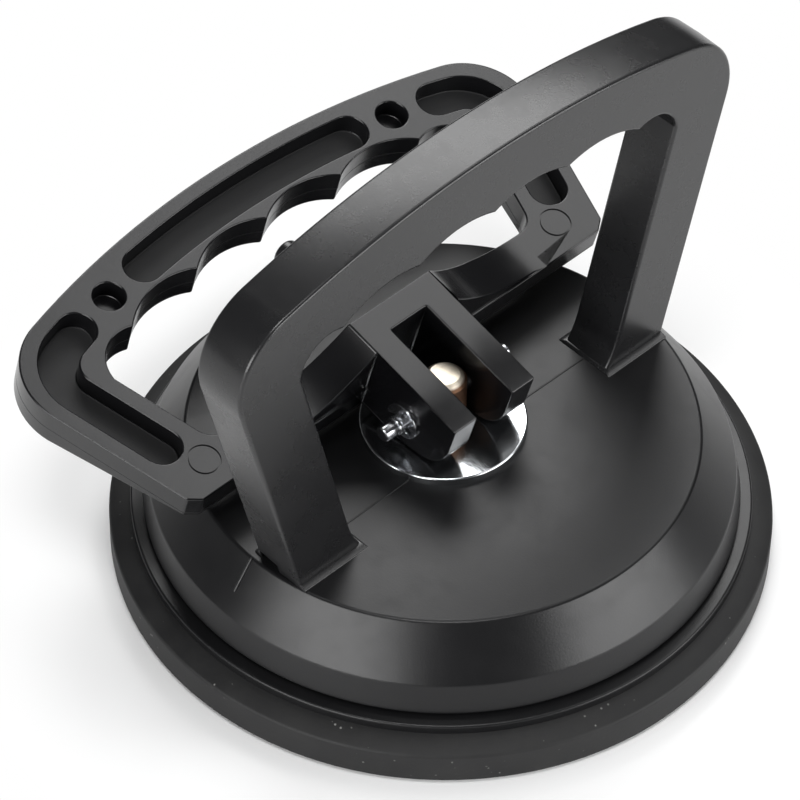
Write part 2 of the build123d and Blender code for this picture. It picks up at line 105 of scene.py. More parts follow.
class HousingSizes(bpy.types.PropertyGroup):
    """Dome of the moulded housing"""

    flange_radius: size("Flange radius", "Radius of the flange that holds the pad", 56.1)
    flange_height: size("Flange height", "Thickness of the flange", 1.8)
    flange_round: size("Flange round", "Radius of the flange's upper edge", 0.45)
    groove_radius: size("Groove radius", "Radius at the bottom of the groove", 53.0)
    groove_height: size("Groove height", "Height of the groove over the flange", 0.8)
    skirt_radius: size("Skirt radius", "Radius at the foot of the skirt", 53.9)
    skirt_round: size("Skirt round", "Radius of the skirt's lower edge", 0.5)
    shoulder_radius: size("Shoulder radius", "Radius at the shoulder", 52.8)
    shoulder_height: size("Shoulder height", "Height of the shoulder", 17.2)
    shoulder_round: size("Shoulder round", "Radius of the shoulder", 1.4)
    crease_radius: size("Crease radius", "Radius where the cone meets the top", 46.0)
    crease_height: size("Crease height", "Height where the cone meets the top", 26.3)
    crease_round: size("Crease round", "Radius of that edge", 0.9)
    crown_height: size("Crown height", "Height of the dome's middle", 26.8)
    wall: size("Wall", "Wall thickness", 3.5)
    bore_radius: size("Bore radius", "Radius of the hole for the stud", 4.3)
    boss_radius: size("Boss radius", "Radius of the boss round the hole", 8.2)
    boss_drop: size("Boss drop", "How far the boss hangs from the ceiling", 7.3)
    ridge_radius: size("Ridge radius", "Radius of the short bead on the cone", 0.35)
    ridge_length: size("Ridge length", "Length of the bead on the cone", 7.0)
    seam_width: size("Seam width", "Width of the mould's parting line on the top", 0.36)
    seam_height: size("Seam height", "Height of the parting line on the top", 0.13)


class HandleSizes(bpy.types.PropertyGroup):
    """Fixed handle that is moulded with the housing"""

    offset: size("Offset", "Distance of the parting plane from the pad's axis", 5.65)
    thickness: size("Thickness", "Thickness at the parting plane", 10.5)
    draft: turn("Draft", "Draft of the sides from the parting plane", 1.5)
    height: size("Height", "Height of the crown", 100.9)
    foot: size("Foot", "Half width at the dome's top", 44.9)
    lean: turn("Lean", "Outward lean of the legs", 13.8)
    crown_radius: size("Crown radius", "Radius of the crown", 178.0)
    corner_radius: size("Corner radius", "Radius of the outer corners", 14.0)
    leg_width: size("Leg width", "Width of a leg across its lean", 13.2)
    leg_root: size("Leg root", "How deep the legs stand in the dome", 2.6)
    grip_depth: size("Grip depth", "Depth of the bar at a finger cusp", 14.6)
    finger_depth: size("Finger depth", "Depth of the finger hollows", 1.9)
    inner_radius: size("Inner radius", "Radius of the inner corners", 5.2)
    corner_run: size("Corner run", "Run from the last finger to the leg", 10.05)
    edge_round: size("Edge round", "Radius of the rims of both flat sides", 0.7)
    lip_height: size("Lip height", "Height of the thin lip round a foot", 26.6)
    lip_overhang: size("Lip overhang", "How far the lip stands out to front and back", 1.2)
    lip_rise: size("Lip rise", "Height of the lip's slope", 0.5)
    lip_inset: size("Lip inset", "How far the lip stays inside the leg's outer side", 0.25)
    flare_width: size("Flare width", "How far the leg's inner side flares", 1.3)
    flare_height: size("Flare height", "Height of the hollow flare over the lip", 6.0)
    notch_width: size("Notch width", "Width of the shut-off notch", 4.6)
    notch_depth: size("Notch depth", "Depth of the shut-off notch", 1.3)
    notch_height: size("Notch height", "Height of the shut-off notch", 2.8)
    notch_base: size("Notch base", "Height of the notch's lower edge", 25.7)
    notch_shift: size("Notch shift", "Shift of the notch from the leg's middle", 2.25)
    peg_radius: size("Peg radius", "Radius of the pegs on the handle's back", 2.5)
    peg_length: size("Peg length", "Length of the pegs", 4.2)
    peg_round: size("Peg round", "Radius of the pegs' ends", 0.6)
    peg_across: size("Peg across", "Distance of a peg from the middle", 34.42)
    peg_height: size("Peg height", "Height of the pegs", 90.05)

    def outer_at(self, height, top):
        """Outer half width of the legs at a height, over a dome that reaches its own height."""
        return self.foot + tan(self.lean) * (height - top)

    def inner_at(self, height, top):
        """Inner half width of the legs at a height, without their flare."""
        return self.outer_at(height, top) - self.leg_width / cos(self.lean)


class LeverSizes(bpy.types.PropertyGroup):
    """Cam lever: fork, saddle and fingered ring"""

    tilt: turn("Tilt", "Rise of the released lever", 14.4)
    pin_height: size("Pin height", "Height of the pivot pin", 34.8)
    bore_radius: size("Bore radius", "Radius of the hole for the pin", 1.85)
    half_fork: size("Half fork", "Half width of the fork", 9.75)
    slot_half: size("Slot half", "Half width of the slot for the stud", 4.3)
    slot_depth: size("Slot depth", "How far the slot runs behind the pin", 11.9)
    fork_rise: size("Fork rise", "Height of the fork over the pin", 9.3)
    fork_reach: size("Fork reach", "Length of the fork ahead of the pin", 10.6)
    nose_radius: size("Nose radius", "Radius of the cam nose", 8.0)
    plate_drop: size("Plate drop", "Drop of the ring's top under the pin", 1.7)
    plate_thickness: size("Plate thickness", "Thickness of the ring at the grip", 8.0)
    front_thickness: size("Front thickness", "Thickness of the ring at the fork", 5.0)
    taper_length: size("Taper length", "Length over which the ring thins", 28.7)
    reach: size("Reach", "Distance from the pin to the grip's crown", 60.7)
    crown_radius: size("Crown radius", "Radius of the grip's crown", 185.0)
    corner_radius: size("Corner radius", "Radius of the grip's outer corners", 13.0)
    inner_radius: size("Inner radius", "Radius of the grip's inner corners", 6.5)
    grip_depth: size("Grip depth", "Depth of the grip at a finger cusp", 13.7)
    finger_depth: size("Finger depth", "Depth of the finger hollows", 2.6)
    corner_run: size("Corner run", "Run from the last finger to the rail", 10.8)
    front: size("Front", "Distance from the pin to the rails' front", 9.3)
    front_half: size("Front half width", "Half width at the rails' front", 50.3)
    lean: turn("Lean", "Outward lean of the rails", 16.5)
    rail_width: size("Rail width", "Width of a rail", 13.2)
    rail_chamfer: size("Rail chamfer", "Chamfer of the rails' front corners", 1.8)
    rail_block: size("Rail block", "Length of the full corner block", 15.3)
    crossbar_width: size("Crossbar width", "Width of the crossbar", 8.3)
    crossbar_round: size("Crossbar round", "Inner corner at the rails", 4.0)
    saddle_draft: size("Saddle draft", "Run of the saddle's steep rear face", 0.4)
    saddle_setback: size("Saddle setback", "Setback of the saddle's front", 0.3)
    dip_across: share("Dip across", "Where the flank's hollow lies across", 0.4)
    dip_height: share("Dip height", "How high the flank's hollow lies", 0.34)
    pocket_wall: size("Pocket wall", "Wall between a pocket and the edge", 2.9)
    pocket_width: size("Pocket width", "Width of the pockets", 7.2)
    pocket_depth: size("Pocket depth", "Depth of the pockets", 4.4)
    pocket_gap: size("Pocket gap", "Gap between the crossbar and a pocket", 4.2)
    pocket_bend: size("Pocket bend", "Radius of the bent pockets' middle line", 7.5)
    hole_inset: size("Hole inset", "Distance of a blind hole from the corner", 27.9)
    hole_radius: size("Hole radius", "Radius of the blind holes", 2.95)
    hole_depth: size("Hole depth", "Depth of the blind holes", 4.0)
    hole_wall: size("Hole wall", "Wall between a hole and a pocket", 2.8)
    mark_radius: size("Mark radius", "Radius of the ejector marks", 3.05)
    mark_across: size("Mark across", "Distance of a mark from the middle", 43.0)
    mark_reach: size("Mark reach", "Distance of a mark from the pin", 15.4)
    mark_width: size("Mark width", "Width of the fine groove round a mark", 0.34)
    mark_depth: size("Mark depth", "Depth of the groove round a mark", 0.24)
    edge_round: size("Edge round", "Radius of the moulded edges", 0.32)

    @property
    def underside(self):
        """Depth of the ring's underside under the pin."""
        return self.plate_drop + self.plate_thickness

    @property
    def fork_underside(self):
        """Depth of the fork's underside under the pin."""
        return self.plate_drop + self.front_thickness

    @property
    def clearance(self):
        """How far cutters stand out of what they cut."""
        return self.plate_thickness / 4

    @property
    def bar_rear(self):
        """Distance from the pin to the crossbar's rear."""
        return self.front + self.crossbar_width

    @property
    def side(self):
        """The rails' outer side and the crown that it meets."""
        return self.front_half, self.front, self.lean, self.reach, self.crown_radius

    def inner_at(self, reach):
        """Inner half width of the rails at a distance from the pin."""
        rail_across = self.rail_width / cos(self.lean)
        return self.front_half - rail_across + tan(self.lean) * (reach - self.front)


class HardwareSizes(bpy.types.PropertyGroup):
    """Washer, pin, clips and stud"""

    washer_radius: size("Washer radius", "Radius of the wear washer", 15.0)
    washer_thickness: size("Washer thickness", "Thickness of the wear washer", 1.5)
    washer_round: size("Washer round", "Radius of its edges", 0.35)
    washer_hole: size("Washer hole", "Radius of the washer's hole", 4.6)
    pin_radius: size("Pin radius", "Radius of the pivot pin", 1.8)
    pin_overhang: size("Pin overhang", "How far the pin stands out of the fork", 5.4)
    groove_radius: size("Groove radius", "Radius of the clip groove", 1.35)
    neck_radius: size("Neck radius", "Radius of the neck behind the collar", 1.55)
    tail_radius: size("Tail radius", "Radius of the pin's tail", 1.5)
    collar_start: size("Collar start", "Where the collar starts", 1.6)
    collar_width: size("Collar width", "Width of the collar", 0.9)
    pin_chamfer: size("Pin chamfer", "Chamfer of the pin's ends", 0.3)
    clip_radius: size("Clip radius", "Outer radius of a retaining clip", 3.6)
    clip_thickness: size("Clip thickness", "Thickness of a clip", 0.7)
    clip_mouth: size("Clip mouth", "Width of a clip's mouth", 2.3)
    clip_relief: size("Clip relief", "Radius of the relief holes", 0.75)
    clip_turn: turn("Clip turn", "Direction of the mouth", 215.0)
    clip_spread: turn("Clip spread", "Angle of the reliefs from the back", 62.0)
    clip_relief_share: share("Relief place", "Place of the reliefs on the clip's radius", 0.56)
    play: size("Play", "Play of the clip on the pin", 0.05)
    stud_radius: size("Stud radius", "Radius of the draw stud", 4.0)
    stud_base: size("Stud base", "Height of the stud's lower end", 3.5)
    stud_above_pin: size("Stud above pin", "Height of the stud over the pin", 4.7)
    stud_chamfer: size("Stud chamfer", "Chamfer of the stud's end", 1.25)
    stud_round: size("Stud round", "Radius of the chamfer's edges", 0.25)
    spring_wire: size("Spring wire", "Radius of the return spring's wire", 0.8)
    spring_radius: size("Spring radius", "Radius of the coil's centre line", 9.8)
    spring_base: size("Spring base", "Height of the lowest wire's centre", 6.4)
    spring_height: size("Spring height", "Rise of the wire's centre", 16.0)
    spring_travel: size("Spring travel", "How far the plate presses the spring", 4.4)
    spring_half_turns: IntProperty(
        name="Spring half turns", description="Half turns of the coil", default=9, min=1
    )


class Finishes(bpy.types.PropertyGroup):
    """Colours of the finishes"""

    rubber: colour("Rubber", "Pad's black rubber", (0.004, 0.004, 0.0044))
    dust: colour("Dust", "Pale specks on the rubber", (0.23, 0.23, 0.22))
    housing: colour("Housing", "Satin moulded plastic", (0.0045, 0.0045, 0.005))
    # The handle's colour is the housing's plastic made twice as light: painted light on the arch,
    # which is moulded with the dome.
    handle: colour("Handle", "Satin plastic of the handle", (0.009, 0.009, 0.0096))
    lever: colour("Lever", "Glossy moulded plastic", (0.004, 0.004, 0.0046))
    chrome: colour("Chrome", "Polished washer", (0.66, 0.68, 0.7))
    zinc: colour("Zinc", "Plated pin and clips", (0.74, 0.75, 0.78))
    # The stud's pale end and dark side hold painted highlight and painted shade as well as the
    # metal's own colours.
    stud_top_and_highlight: colour("Stud end", "Bare turned end of the stud", (0.93, 0.84, 0.70))
    stud_side_and_shade: colour("Stud side", "Stained side of the stud", (0.16, 0.085, 0.05))
    steel: colour("Steel", "Plate, nut and spring inside", (0.5, 0.5, 0.51))
    floor: colour("Floor", "Pale floor", (0.9, 0.9, 0.9))


GROUPS = {
    "lifter_pad": PadSizes,
    "lifter_housing": HousingSizes,
    "lifter_handle": HandleSizes,
    "lifter_lever": LeverSizes,
    "lifter_hardware": HardwareSizes,
    "lifter_finishes": Finishes,
}


# Drawing and shaping


def clear_selection():
    """Leave edit mode and deselect everything."""
    if bpy.context.mode != "OBJECT":
        bpy.ops.object.mode_set(mode="OBJECT")
    bpy.ops.object.select_all(action="DESELECT")


def pick(piece, *others):
    """Select these pieces, with the first as the active one."""
    clear_selection()
    for other in (piece, *others):
        other.select_set(True)
    bpy.context.view_layer.objects.active = piece


def open_all(piece):
    """Open a piece in edit mode with everything selected."""
    pick(piece)
    bpy.ops.object.mode_set(mode="EDIT")
    bpy.ops.mesh.select_all(action="SELECT")


def named(name):
    """Give the active piece and its mesh a name."""
    piece = bpy.context.active_object
    piece.name = piece.data.name = name
    return piece


def start_point(name, place):
    """A new piece with a single vertex at a place, left in edit mode."""
    clear_selection()
    bpy.ops.mesh.primitive_plane_add(size=1)
    piece = named(name)
    bpy.ops.object.mode_set(mode="EDIT")
    bpy.ops.mesh.select_mode(type="VERT")
    bpy.ops.mesh.select_all(action="SELECT")
    bpy.ops.mesh.merge(type="CENTER")
    bpy.ops.transform.translate(value=place)
    return piece


def circle_through(a, b, c):
    """Centre of the circle through three points of a plane."""
    d = 2 * (a[0] * (b[1] - c[1]) + b[0] * (c[1] - a[1]) + c[0] * (a[1] - b[1]))
    sa, sb, sc = (p[0] ** 2 + p[1] ** 2 for p in (a, b, c))
    return (
        (sa * (b[1] - c[1]) + sb * (c[1] - a[1]) + sc * (a[1] - b[1])) / d,
        (sa * (c[0] - b[0]) + sb * (a[0] - c[0]) + sc * (b[0] - a[0])) / d,
    )


def draw(name, right, up, start, runs):
    """Draw a line on a plane: an end point is a straight run, (middle, end) an arc."""
    piece = start_point(name, right * start[0] + up * start[1])
    here = start
    for run in runs:
        if not isinstance(run[0], tuple):
            step = right * (run[0] - here[0]) + up * (run[1] - here[1])
            if step.length > 1e-7:
                bpy.ops.mesh.extrude_region_move(TRANSFORM_OT_translate={"value": step})
            here = run
            continue
        middle, end = run
        centre = circle_through(here, middle, end)
        first, half, last = (
            atan2(p[1] - centre[1], p[0] - centre[0]) for p in (here, middle, end)
        )
        sweep, part = (last - first) % (2 * pi), (half - first) % (2 * pi)
        if part > sweep:
            sweep -= 2 * pi
        radius = sqrt((here[0] - centre[0]) ** 2 + (here[1] - centre[1]) ** 2)
        steps = ceil(abs(sweep) / (2 * acos(1 - DRAWING_ERROR / radius)))
        bpy.ops.mesh.spin(
            steps=max(2, steps), angle=-sweep, axis=right.cross(up),
            center=right * centre[0] + up * centre[1],
        )
        here = end
    bpy.ops.mesh.select_all(action="SELECT")
    bpy.ops.mesh.remove_doubles(threshold=MERGE_DISTANCE)
    return piece


def rounded(points, radii):
    """Start point and runs of a closed outline whose corners have these radii."""
    runs = []
    for i, corner in enumerate(points):
        radius = radii.get(i, 0)
        if not radius:
            runs.append(corner)
            continue
        here = Vector(corner)
        into = (Vector(points[i - 1]) - here).normalized()
        out = (Vector(points[(i + 1) % len(points)]) - here).normalized()
        half = into.angle(out) / 2
        to_centre = (into + out).normalized() * (radius / sin(half))
        middle = here + to_centre - to_centre.normalized() * radius
        reach = radius / tan(half)
        runs += [tuple(here + into * reach), (tuple(middle), tuple(here + out * reach))]
    start = runs[0] if not isinstance(runs[0][0], tuple) else runs[0][1]
    return start, runs[1:] + [start]


def face_outwards():
    """Merge doubles and point all faces of the open piece outwards, then leave edit mode."""
    bpy.ops.mesh.select_all(action="SELECT")
    bpy.ops.mesh.remove_doubles(threshold=MERGE_DISTANCE)
    bpy.ops.mesh.normals_make_consistent(inside=False)
    bpy.ops.object.mode_set(mode="OBJECT")


def turned(name, outline, radii, steps=200):
    """A turned piece from the closed outline of half its section, as (radius, height)."""
    start, runs = rounded(outline, radii)
    piece = draw(name, X, Z, start, runs)
    bpy.ops.mesh.spin(steps=steps, angle=2 * pi, center=(0, 0, 0), axis=Z)
    face_outwards()
    return piece


def slab(name, right, up, start, runs, rise):
    """A solid drawn as an outline and extruded by a vector."""
    piece = draw(name, right, up, start, runs)
    bpy.ops.mesh.edge_face_add()
    bpy.ops.mesh.extrude_region_move(TRANSFORM_OT_translate={"value": rise})
    face_outwards()
    return piece


def slid(piece, vector):
    """Move all of a piece's mesh by a vector."""
    open_all(piece)
    bpy.ops.transform.translate(value=vector)
    bpy.ops.object.mode_set(mode="OBJECT")
    return piece


def apply_modifier(piece, kind, **settings):
    """Add one modifier with its settings and apply it."""
    pick(piece)
    modifier = piece.modifiers.new(kind.title(), kind)
    for key, value in settings.items():
        setattr(modifier, key, value)
    bpy.ops.object.modifier_apply(modifier=modifier.name)
    return piece


def combine(piece, others, operation):
    """Join or cut a piece with others, which are used up."""
    for other in others:
        apply_modifier(piece, "BOOLEAN", object=other, operation=operation, solver="EXACT")
        mesh = other.data
        bpy.data.objects.remove(other)
        bpy.data.meshes.remove(mesh)
    return piece


def drum(name, radius, low, high, across=(0, 0), steps=64):
    """A plain upright cylinder that others are cut with, between two heights."""
    clear_selection()
    bpy.ops.mesh.primitive_cylinder_add(
        vertices=steps, radius=radius, depth=high - low,
        location=(across[0], across[1], (low + high) / 2),
    )
    piece = named(name)
    bpy.ops.object.transform_apply(location=True, rotation=True, scale=True)
    return piece


def block(name, place, extent):
    """A plain block that others are cut with."""
    clear_selection()
    bpy.ops.mesh.primitive_cube_add(size=1, location=place, scale=extent)
    piece = named(name)
    bpy.ops.object.transform_apply(location=True, rotation=True, scale=True)
    return piece


def trimmed(piece, place, outward):
    """Cut off what lies beyond a plane and close the cut."""
    open_all(piece)
    bpy.ops.mesh.bisect(
        plane_co=place, plane_no=outward.normalized(), use_fill=True, clear_outer=True
    )
    face_outwards()
    return piece


def drafted(name, start, runs, thickness, draft):
    """A solid either side of the YZ plane whose rim draws in towards both flat faces."""
    piece = draw(name, Y, Z, start, runs)
    bpy.ops.mesh.edge_face_add()
    bpy.ops.mesh.normals_make_consistent(inside=False)
    bpy.ops.mesh.inset(
        thickness=thickness / 2 * tan(draft), depth=thickness / 2, use_boundary=True,
        use_even_offset=True,
    )
    bpy.ops.object.mode_set(mode="OBJECT")
    if max(v.co.x for v in piece.data.vertices) < thickness / 4:
        open_all(piece)
        bpy.ops.transform.resize(value=(-1, 1, 1), center_override=(0, 0, 0))
    apply_modifier(
        piece, "MIRROR", use_axis=(True, False, False), use_mirror_merge=True,
        merge_threshold=MERGE_DISTANCE,
    )
    open_all(piece)
    face_outwards()
    return piece


def soften(piece, width, segments=3, angle=32.0):
    """Round the edges that are sharper than an angle, and shade the piece."""
    apply_modifier(
        piece, "BEVEL", width=width, segments=segments, limit_method="ANGLE",
        angle_limit=radians(angle), use_clamp_overlap=False, miter_outer="MITER_ARC",
        harden_normals=False, profile=0.5,
    )
    return shade(piece)


def shade(piece, angle=38.0):
    """Shade a piece smooth up to an angle, with its flat faces kept flat."""
    pick(piece)
    bpy.ops.object.shade_smooth_by_angle(angle=radians(angle))
    return apply_modifier(piece, "WEIGHTED_NORMAL", keep_sharp=True, weight=60)


def placed(piece, turn_about, angle, place):
    """Turn a piece about an axis through the origin, move it, and put both in its mesh."""
    pick(piece)
    piece.matrix_world = Matrix.Translation(place) @ Matrix.Rotation(angle, 4, turn_about)
    bpy.ops.object.transform_apply(location=True, rotation=True, scale=True)
    return piece


def fitted(piece, body, slot, material, *nodes):
    """Dress a finished piece, let it ride on its body and stand for its nodes."""
    piece.data.materials.clear()
    piece.data.materials.append(material)
    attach(piece, body)
    if nodes:
        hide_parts(*nodes)
    return piece


# Outlines of the handle and the lever


def crown(apex, radius, across):
    """Height of the crown at a distance across."""
    return apex - radius + sqrt(radius**2 - across**2)


def crown_corner(foot, foot_height, lean, apex, radius):
    """Where a leaning side meets the crown, as (across, height)."""
    slope, centre = tan(lean), apex - radius
    start = foot - slope * (foot_height - centre)
    a, b, c = 1 + slope**2, 2 * slope * start, start**2 - radius**2
    rise = (-b + sqrt(b**2 - 4 * a * c)) / (2 * a)
    return start + slope * rise, centre + rise


def corner_arc(foot, foot_height, lean, apex, radius, corner_radius):
    """Start, middle and end of the round corner between a leaning side and the crown."""
    centre = Vector((0, apex - radius))
    along, inward = Vector((sin(lean), cos(lean))), Vector((-cos(lean), sin(lean)))
    base = Vector((foot, foot_height)) + inward * corner_radius
    gap = base - centre
    ahead = gap.dot(along)
    run = -ahead + sqrt(ahead**2 - gap.length**2 + (radius - corner_radius) ** 2)
    hub = base + along * run
    first = hub - inward * corner_radius
    last = centre + (hub - centre).normalized() * radius
    middle = hub + ((first + last) / 2 - hub).normalized() * corner_radius
    return tuple(first), tuple(middle), tuple(last)


def flip(point):
    """The same point on the other side of the middle line."""
    return (-point[0], point[1])


def fingers(apex, radius, depth, finger_depth, inner_radius, corner_run, side_at):
    """Arcs of a scalloped inner edge from right to left, with their start, corners included."""
    low = apex - depth - inner_radius
    pitch = (side_at(low) - corner_run) / 2
    cusps = [(i * pitch, crown(apex, radius, i * pitch) - depth) for i in (2, 1, 0, -1, -2)]
    runs = []
    for a, b in zip(cusps, cusps[1:]):
        middle = (a[0] + b[0]) / 2
        runs.append(((middle, crown(apex, radius, middle) - depth + finger_depth), b))
    height = cusps[0][1] - inner_radius
    side, slant = side_at(height), pi / 4
    middle = (side - inner_radius * (1 - cos(slant)), height + inner_radius * sin(slant))
    start = (side, height)
    return start, [(middle, cusps[0]), *runs, (flip(middle), flip(start))]


def slot_outline(line, half_width):
    """Start and runs of a slot round a middle line of points, with round ends."""
    points = [Vector(p) for p in line]
    sides = []
    for i, here in enumerate(points):
        before, after = points[max(i - 1, 0)], points[min(i + 1, len(points) - 1)]
        along = (after - before).normalized()
        sides.append(Vector((-along.y, along.x)) * half_width)
    ends = [(points[1] - points[0]).normalized(), (points[-1] - points[-2]).normalized()]
    left = [tuple(p + s) for p, s in zip(points, sides)]
    right = [tuple(p - s) for p, s in zip(points, sides)]
    last = tuple(points[-1] + ends[1] * half_width)
    first = tuple(points[0] - ends[0] * half_width)
    return left[0], [*left[1:], (last, right[-1]), *right[-2::-1], (first, left[0])]


def bend_line(start, corner, end, radius, steps=14):
    """Points of a straight line that turns a corner at a radius."""
    here = Vector(corner)
    into, out = (Vector(start) - here).normalized(), (Vector(end) - here).normalized()
    half = into.angle(out) / 2
    hub = here + (into + out).normalized() * (radius / sin(half))
    first, last = here + into * (radius / tan(half)), here + out * (radius / tan(half))
    a, b = first - hub, last - hub
    turn_angle = atan2(a.x * b.y - a.y * b.x, a.dot(b))
    arc = []
    for i in range(steps + 1):
        angle = turn_angle * i / steps
        c, s = cos(angle), sin(angle)
        arc.append(tuple(hub + Vector((a.x * c - a.y * s, a.x * s + a.y * c))))
    return [start, *arc, end]


# Finishes


class Signal:
    """A value in a shader; each sum written with it adds its Math node."""

    def __init__(self, tree, socket):
        self.tree, self.socket = tree, socket

    def math(self, operation, *values):
        node = self.tree.nodes.new("ShaderNodeMath")
        node.operation = operation
        for slot, value in zip(node.inputs, values):
            if isinstance(value, Signal):
                self.tree.links.new(value.socket, slot)
            else:
                slot.default_value = value
        return Signal(self.tree, node.outputs[0])

    def __add__(self, other):
        return self.math("ADD", self, other)

    def __sub__(self, other):
        return self.math("SUBTRACT", self, other)

    def __rsub__(self, other):
        return self.math("SUBTRACT", other, self)

    def __mul__(self, other):
        return self.math("MULTIPLY", self, other)

    def clipped(self):
        return self.math("MINIMUM", self.math("MAXIMUM", self, 0.0), 1.0)

    def ramp(self, start, slope):
        """0 up to a start, then rising to 1 at a slope."""
        return ((self - start) * slope).clipped()

    __radd__, __rmul__ = __add__, __mul__


class Finish:
    """The nodes of a material or a world in the making."""

    def __init__(self, owner):
        self.owner = owner
        owner.use_nodes = True
        self.tree = owner.node_tree
        self.tree.nodes.clear()

    def node(self, kind, settings=None, inputs=None, output=0):
        """Add a node with its settings, then its inputs, and give one of its outputs."""
        node = self.tree.nodes.new(kind)
        for key, value in (settings or {}).items():
            setattr(node, key, value)
        for key, value in (inputs or {}).items():
            if isinstance(value, Signal):
                self.tree.links.new(value.socket, node.inputs[key])
            else:
                node.inputs[key].default_value = value
        return Signal(self.tree, node.outputs[output]) if len(node.outputs) else None

    def place(self, stretch=(1, 1, 1)):
        """Position on the piece, in metres, stretched."""
        where = self.node("ShaderNodeTexCoord", output="Object")
        return self.node("ShaderNodeMapping", {}, {"Vector": where, "Scale": stretch})

    def along(self, axis):
        """Position on the piece along one axis, in metres."""
        return self.node("ShaderNodeSeparateXYZ", {}, {"Vector": self.place()}, output=axis)

    def noise(self, scale, detail=3.0, roughness=0.5, stretch=(1, 1, 1)):
        """Even cloudy noise from 0 to 1."""
        return self.node(
            "ShaderNodeTexNoise", {"noise_dimensions": "3D"},
            {
                "Vector": self.place(stretch), "Scale": scale, "Detail": detail,
                "Roughness": roughness,
            },
        )

    def mix(self, amount, low, high):
        """A colour between two."""
        return self.node(
            "ShaderNodeMix", {"data_type": "RGBA"}, {0: amount, 6: (*low, 1), 7: (*high, 1)},
            output=2,
        )

    def bump(self, height, distance, strength=1.0, under=None):
        """Relief of a height, in metres."""
        inputs = {"Height": height, "Distance": distance, "Strength": strength}
        if under is not None:
            inputs["Normal"] = under
        return self.node("ShaderNodeBump", {}, inputs)

    def finished(self, shader):
        """Put the shader on the material's surface, or on the world's."""
        kind = "World" if isinstance(self.owner, bpy.types.World) else "Material"
        self.node("ShaderNodeOutput" + kind, {}, {"Surface": shader})
        return self.owner


def moulded_plastic(name, base, gloss, grain, scuffs, ior=1.5, duller=lambda finish: 0.0):
    """Black moulded plastic: flow marks, fine grain, rubbed patches, and duller where told."""
    finish = Finish(bpy.data.materials.new(name))
    flow = finish.noise(55.0, 4.0, 0.6)
    patch = finish.noise(140.0, 5.0, 0.65).ramp(0.5, 3.0)
    fine = finish.noise(2600.0, 2.0, 0.5)
    waves = finish.bump(finish.noise(38.0, 2.0), 0.00012, 0.5)
    lighter = tuple(c * 1.7 + 0.002 for c in base)
    shader = finish.node(
        "ShaderNodeBsdfPrincipled", {},
        {
            "Base Color": finish.mix(flow * 0.5 + patch * scuffs, base, lighter),
            "Roughness": gloss + (flow - 0.5) * 0.12 + patch * scuffs * 0.5 + duller(finish),
            "IOR": ior,
            "Normal": finish.bump(fine, grain, 0.6, waves),
        },
    )
    return finish.finished(shader)


def housing_plastic(colours, crease_height):
    """Satin plastic that is duller on the top of the dome than on its cone."""
    edge, slope, added = crease_height - 0.0002, 4000.0, 0.08
    return moulded_plastic(
        "housing plastic", colours.housing, gloss=0.32, grain=0.00002, scuffs=0.12, ior=1.4,
        duller=lambda finish: finish.along("Z").ramp(edge, slope) * added,
    )


def lever_plastic(colours, lever):
    """Glossy plastic, with rough floors in the pockets."""
    floor, half_band, slope, added = -lever.plate_drop - lever.pocket_depth, 0.00015, 20000.0, 0.45

    def pocket_floor(finish):
        over_pin = (
            finish.along("X") * sin(lever.tilt)
            + (finish.along("Z") - lever.pin_height) * cos(lever.tilt)
        )
        under = ((floor + half_band - over_pin) * slope).clipped()
        return over_pin.ramp(floor - half_band, slope) * under * added

    return moulded_plastic(
        "lever plastic", colours.lever, gloss=0.2, grain=0.000008, scuffs=0.1,
        duller=pocket_floor,
    )


def pad_rubber(colours):
    """Matte black rubber with pale dust on it."""
    finish = Finish(bpy.data.materials.new("pad rubber"))
    cell = finish.node(
        "ShaderNodeTexVoronoi", {"feature": "F1"},
        {"Vector": finish.place(), "Scale": 620.0, "Randomness": 1.0}, output="Distance",
    )
    specks = ((0.16 - cell) * 14.0).clipped() * finish.noise(330.0, 3.0).ramp(0.56, 9.0)
    haze = finish.noise(90.0, 5.0, 0.7).ramp(0.42, 1.6)
    relief = finish.bump(specks, 0.00006, 0.6)
    shader = finish.node(
        "ShaderNodeBsdfPrincipled", {},
        {
            "Base Color": finish.mix(
                (specks * 0.8 + haze * 0.07).clipped(), colours.rubber, colours.dust
            ),
            "Roughness": 0.58 + haze * 0.14 + specks * 0.2,
            "IOR": 1.46,
            "Normal": finish.bump(finish.noise(1500.0, 3.0), 0.00003, 0.7, relief),
        },
    )
    return finish.finished(shader)


def turned_metal(name, base, gloss, stretch=(1, 1, 1), depth=0.00002):
    """Bright plated metal with fine marks and slight stains."""
    finish = Finish(bpy.data.materials.new(name))
    marks = finish.noise(900.0, 4.0, 0.7, stretch)
    stain = finish.noise(160.0, 4.0, 0.6)
    darker = tuple(c * 0.86 for c in base)
    shader = finish.node(
        "ShaderNodeBsdfPrincipled", {},
        {
            "Base Color": finish.mix(stain.ramp(0.35, 1.8), base, darker),
            "Metallic": 1.0,
            "Roughness": gloss + (marks - 0.5) * 0.12 + (stain - 0.5) * 0.16,
            "Normal": finish.bump(marks, depth, 0.5, finish.bump(stain, 0.0002, 0.35)),
        },
    )
    return finish.finished(shader)


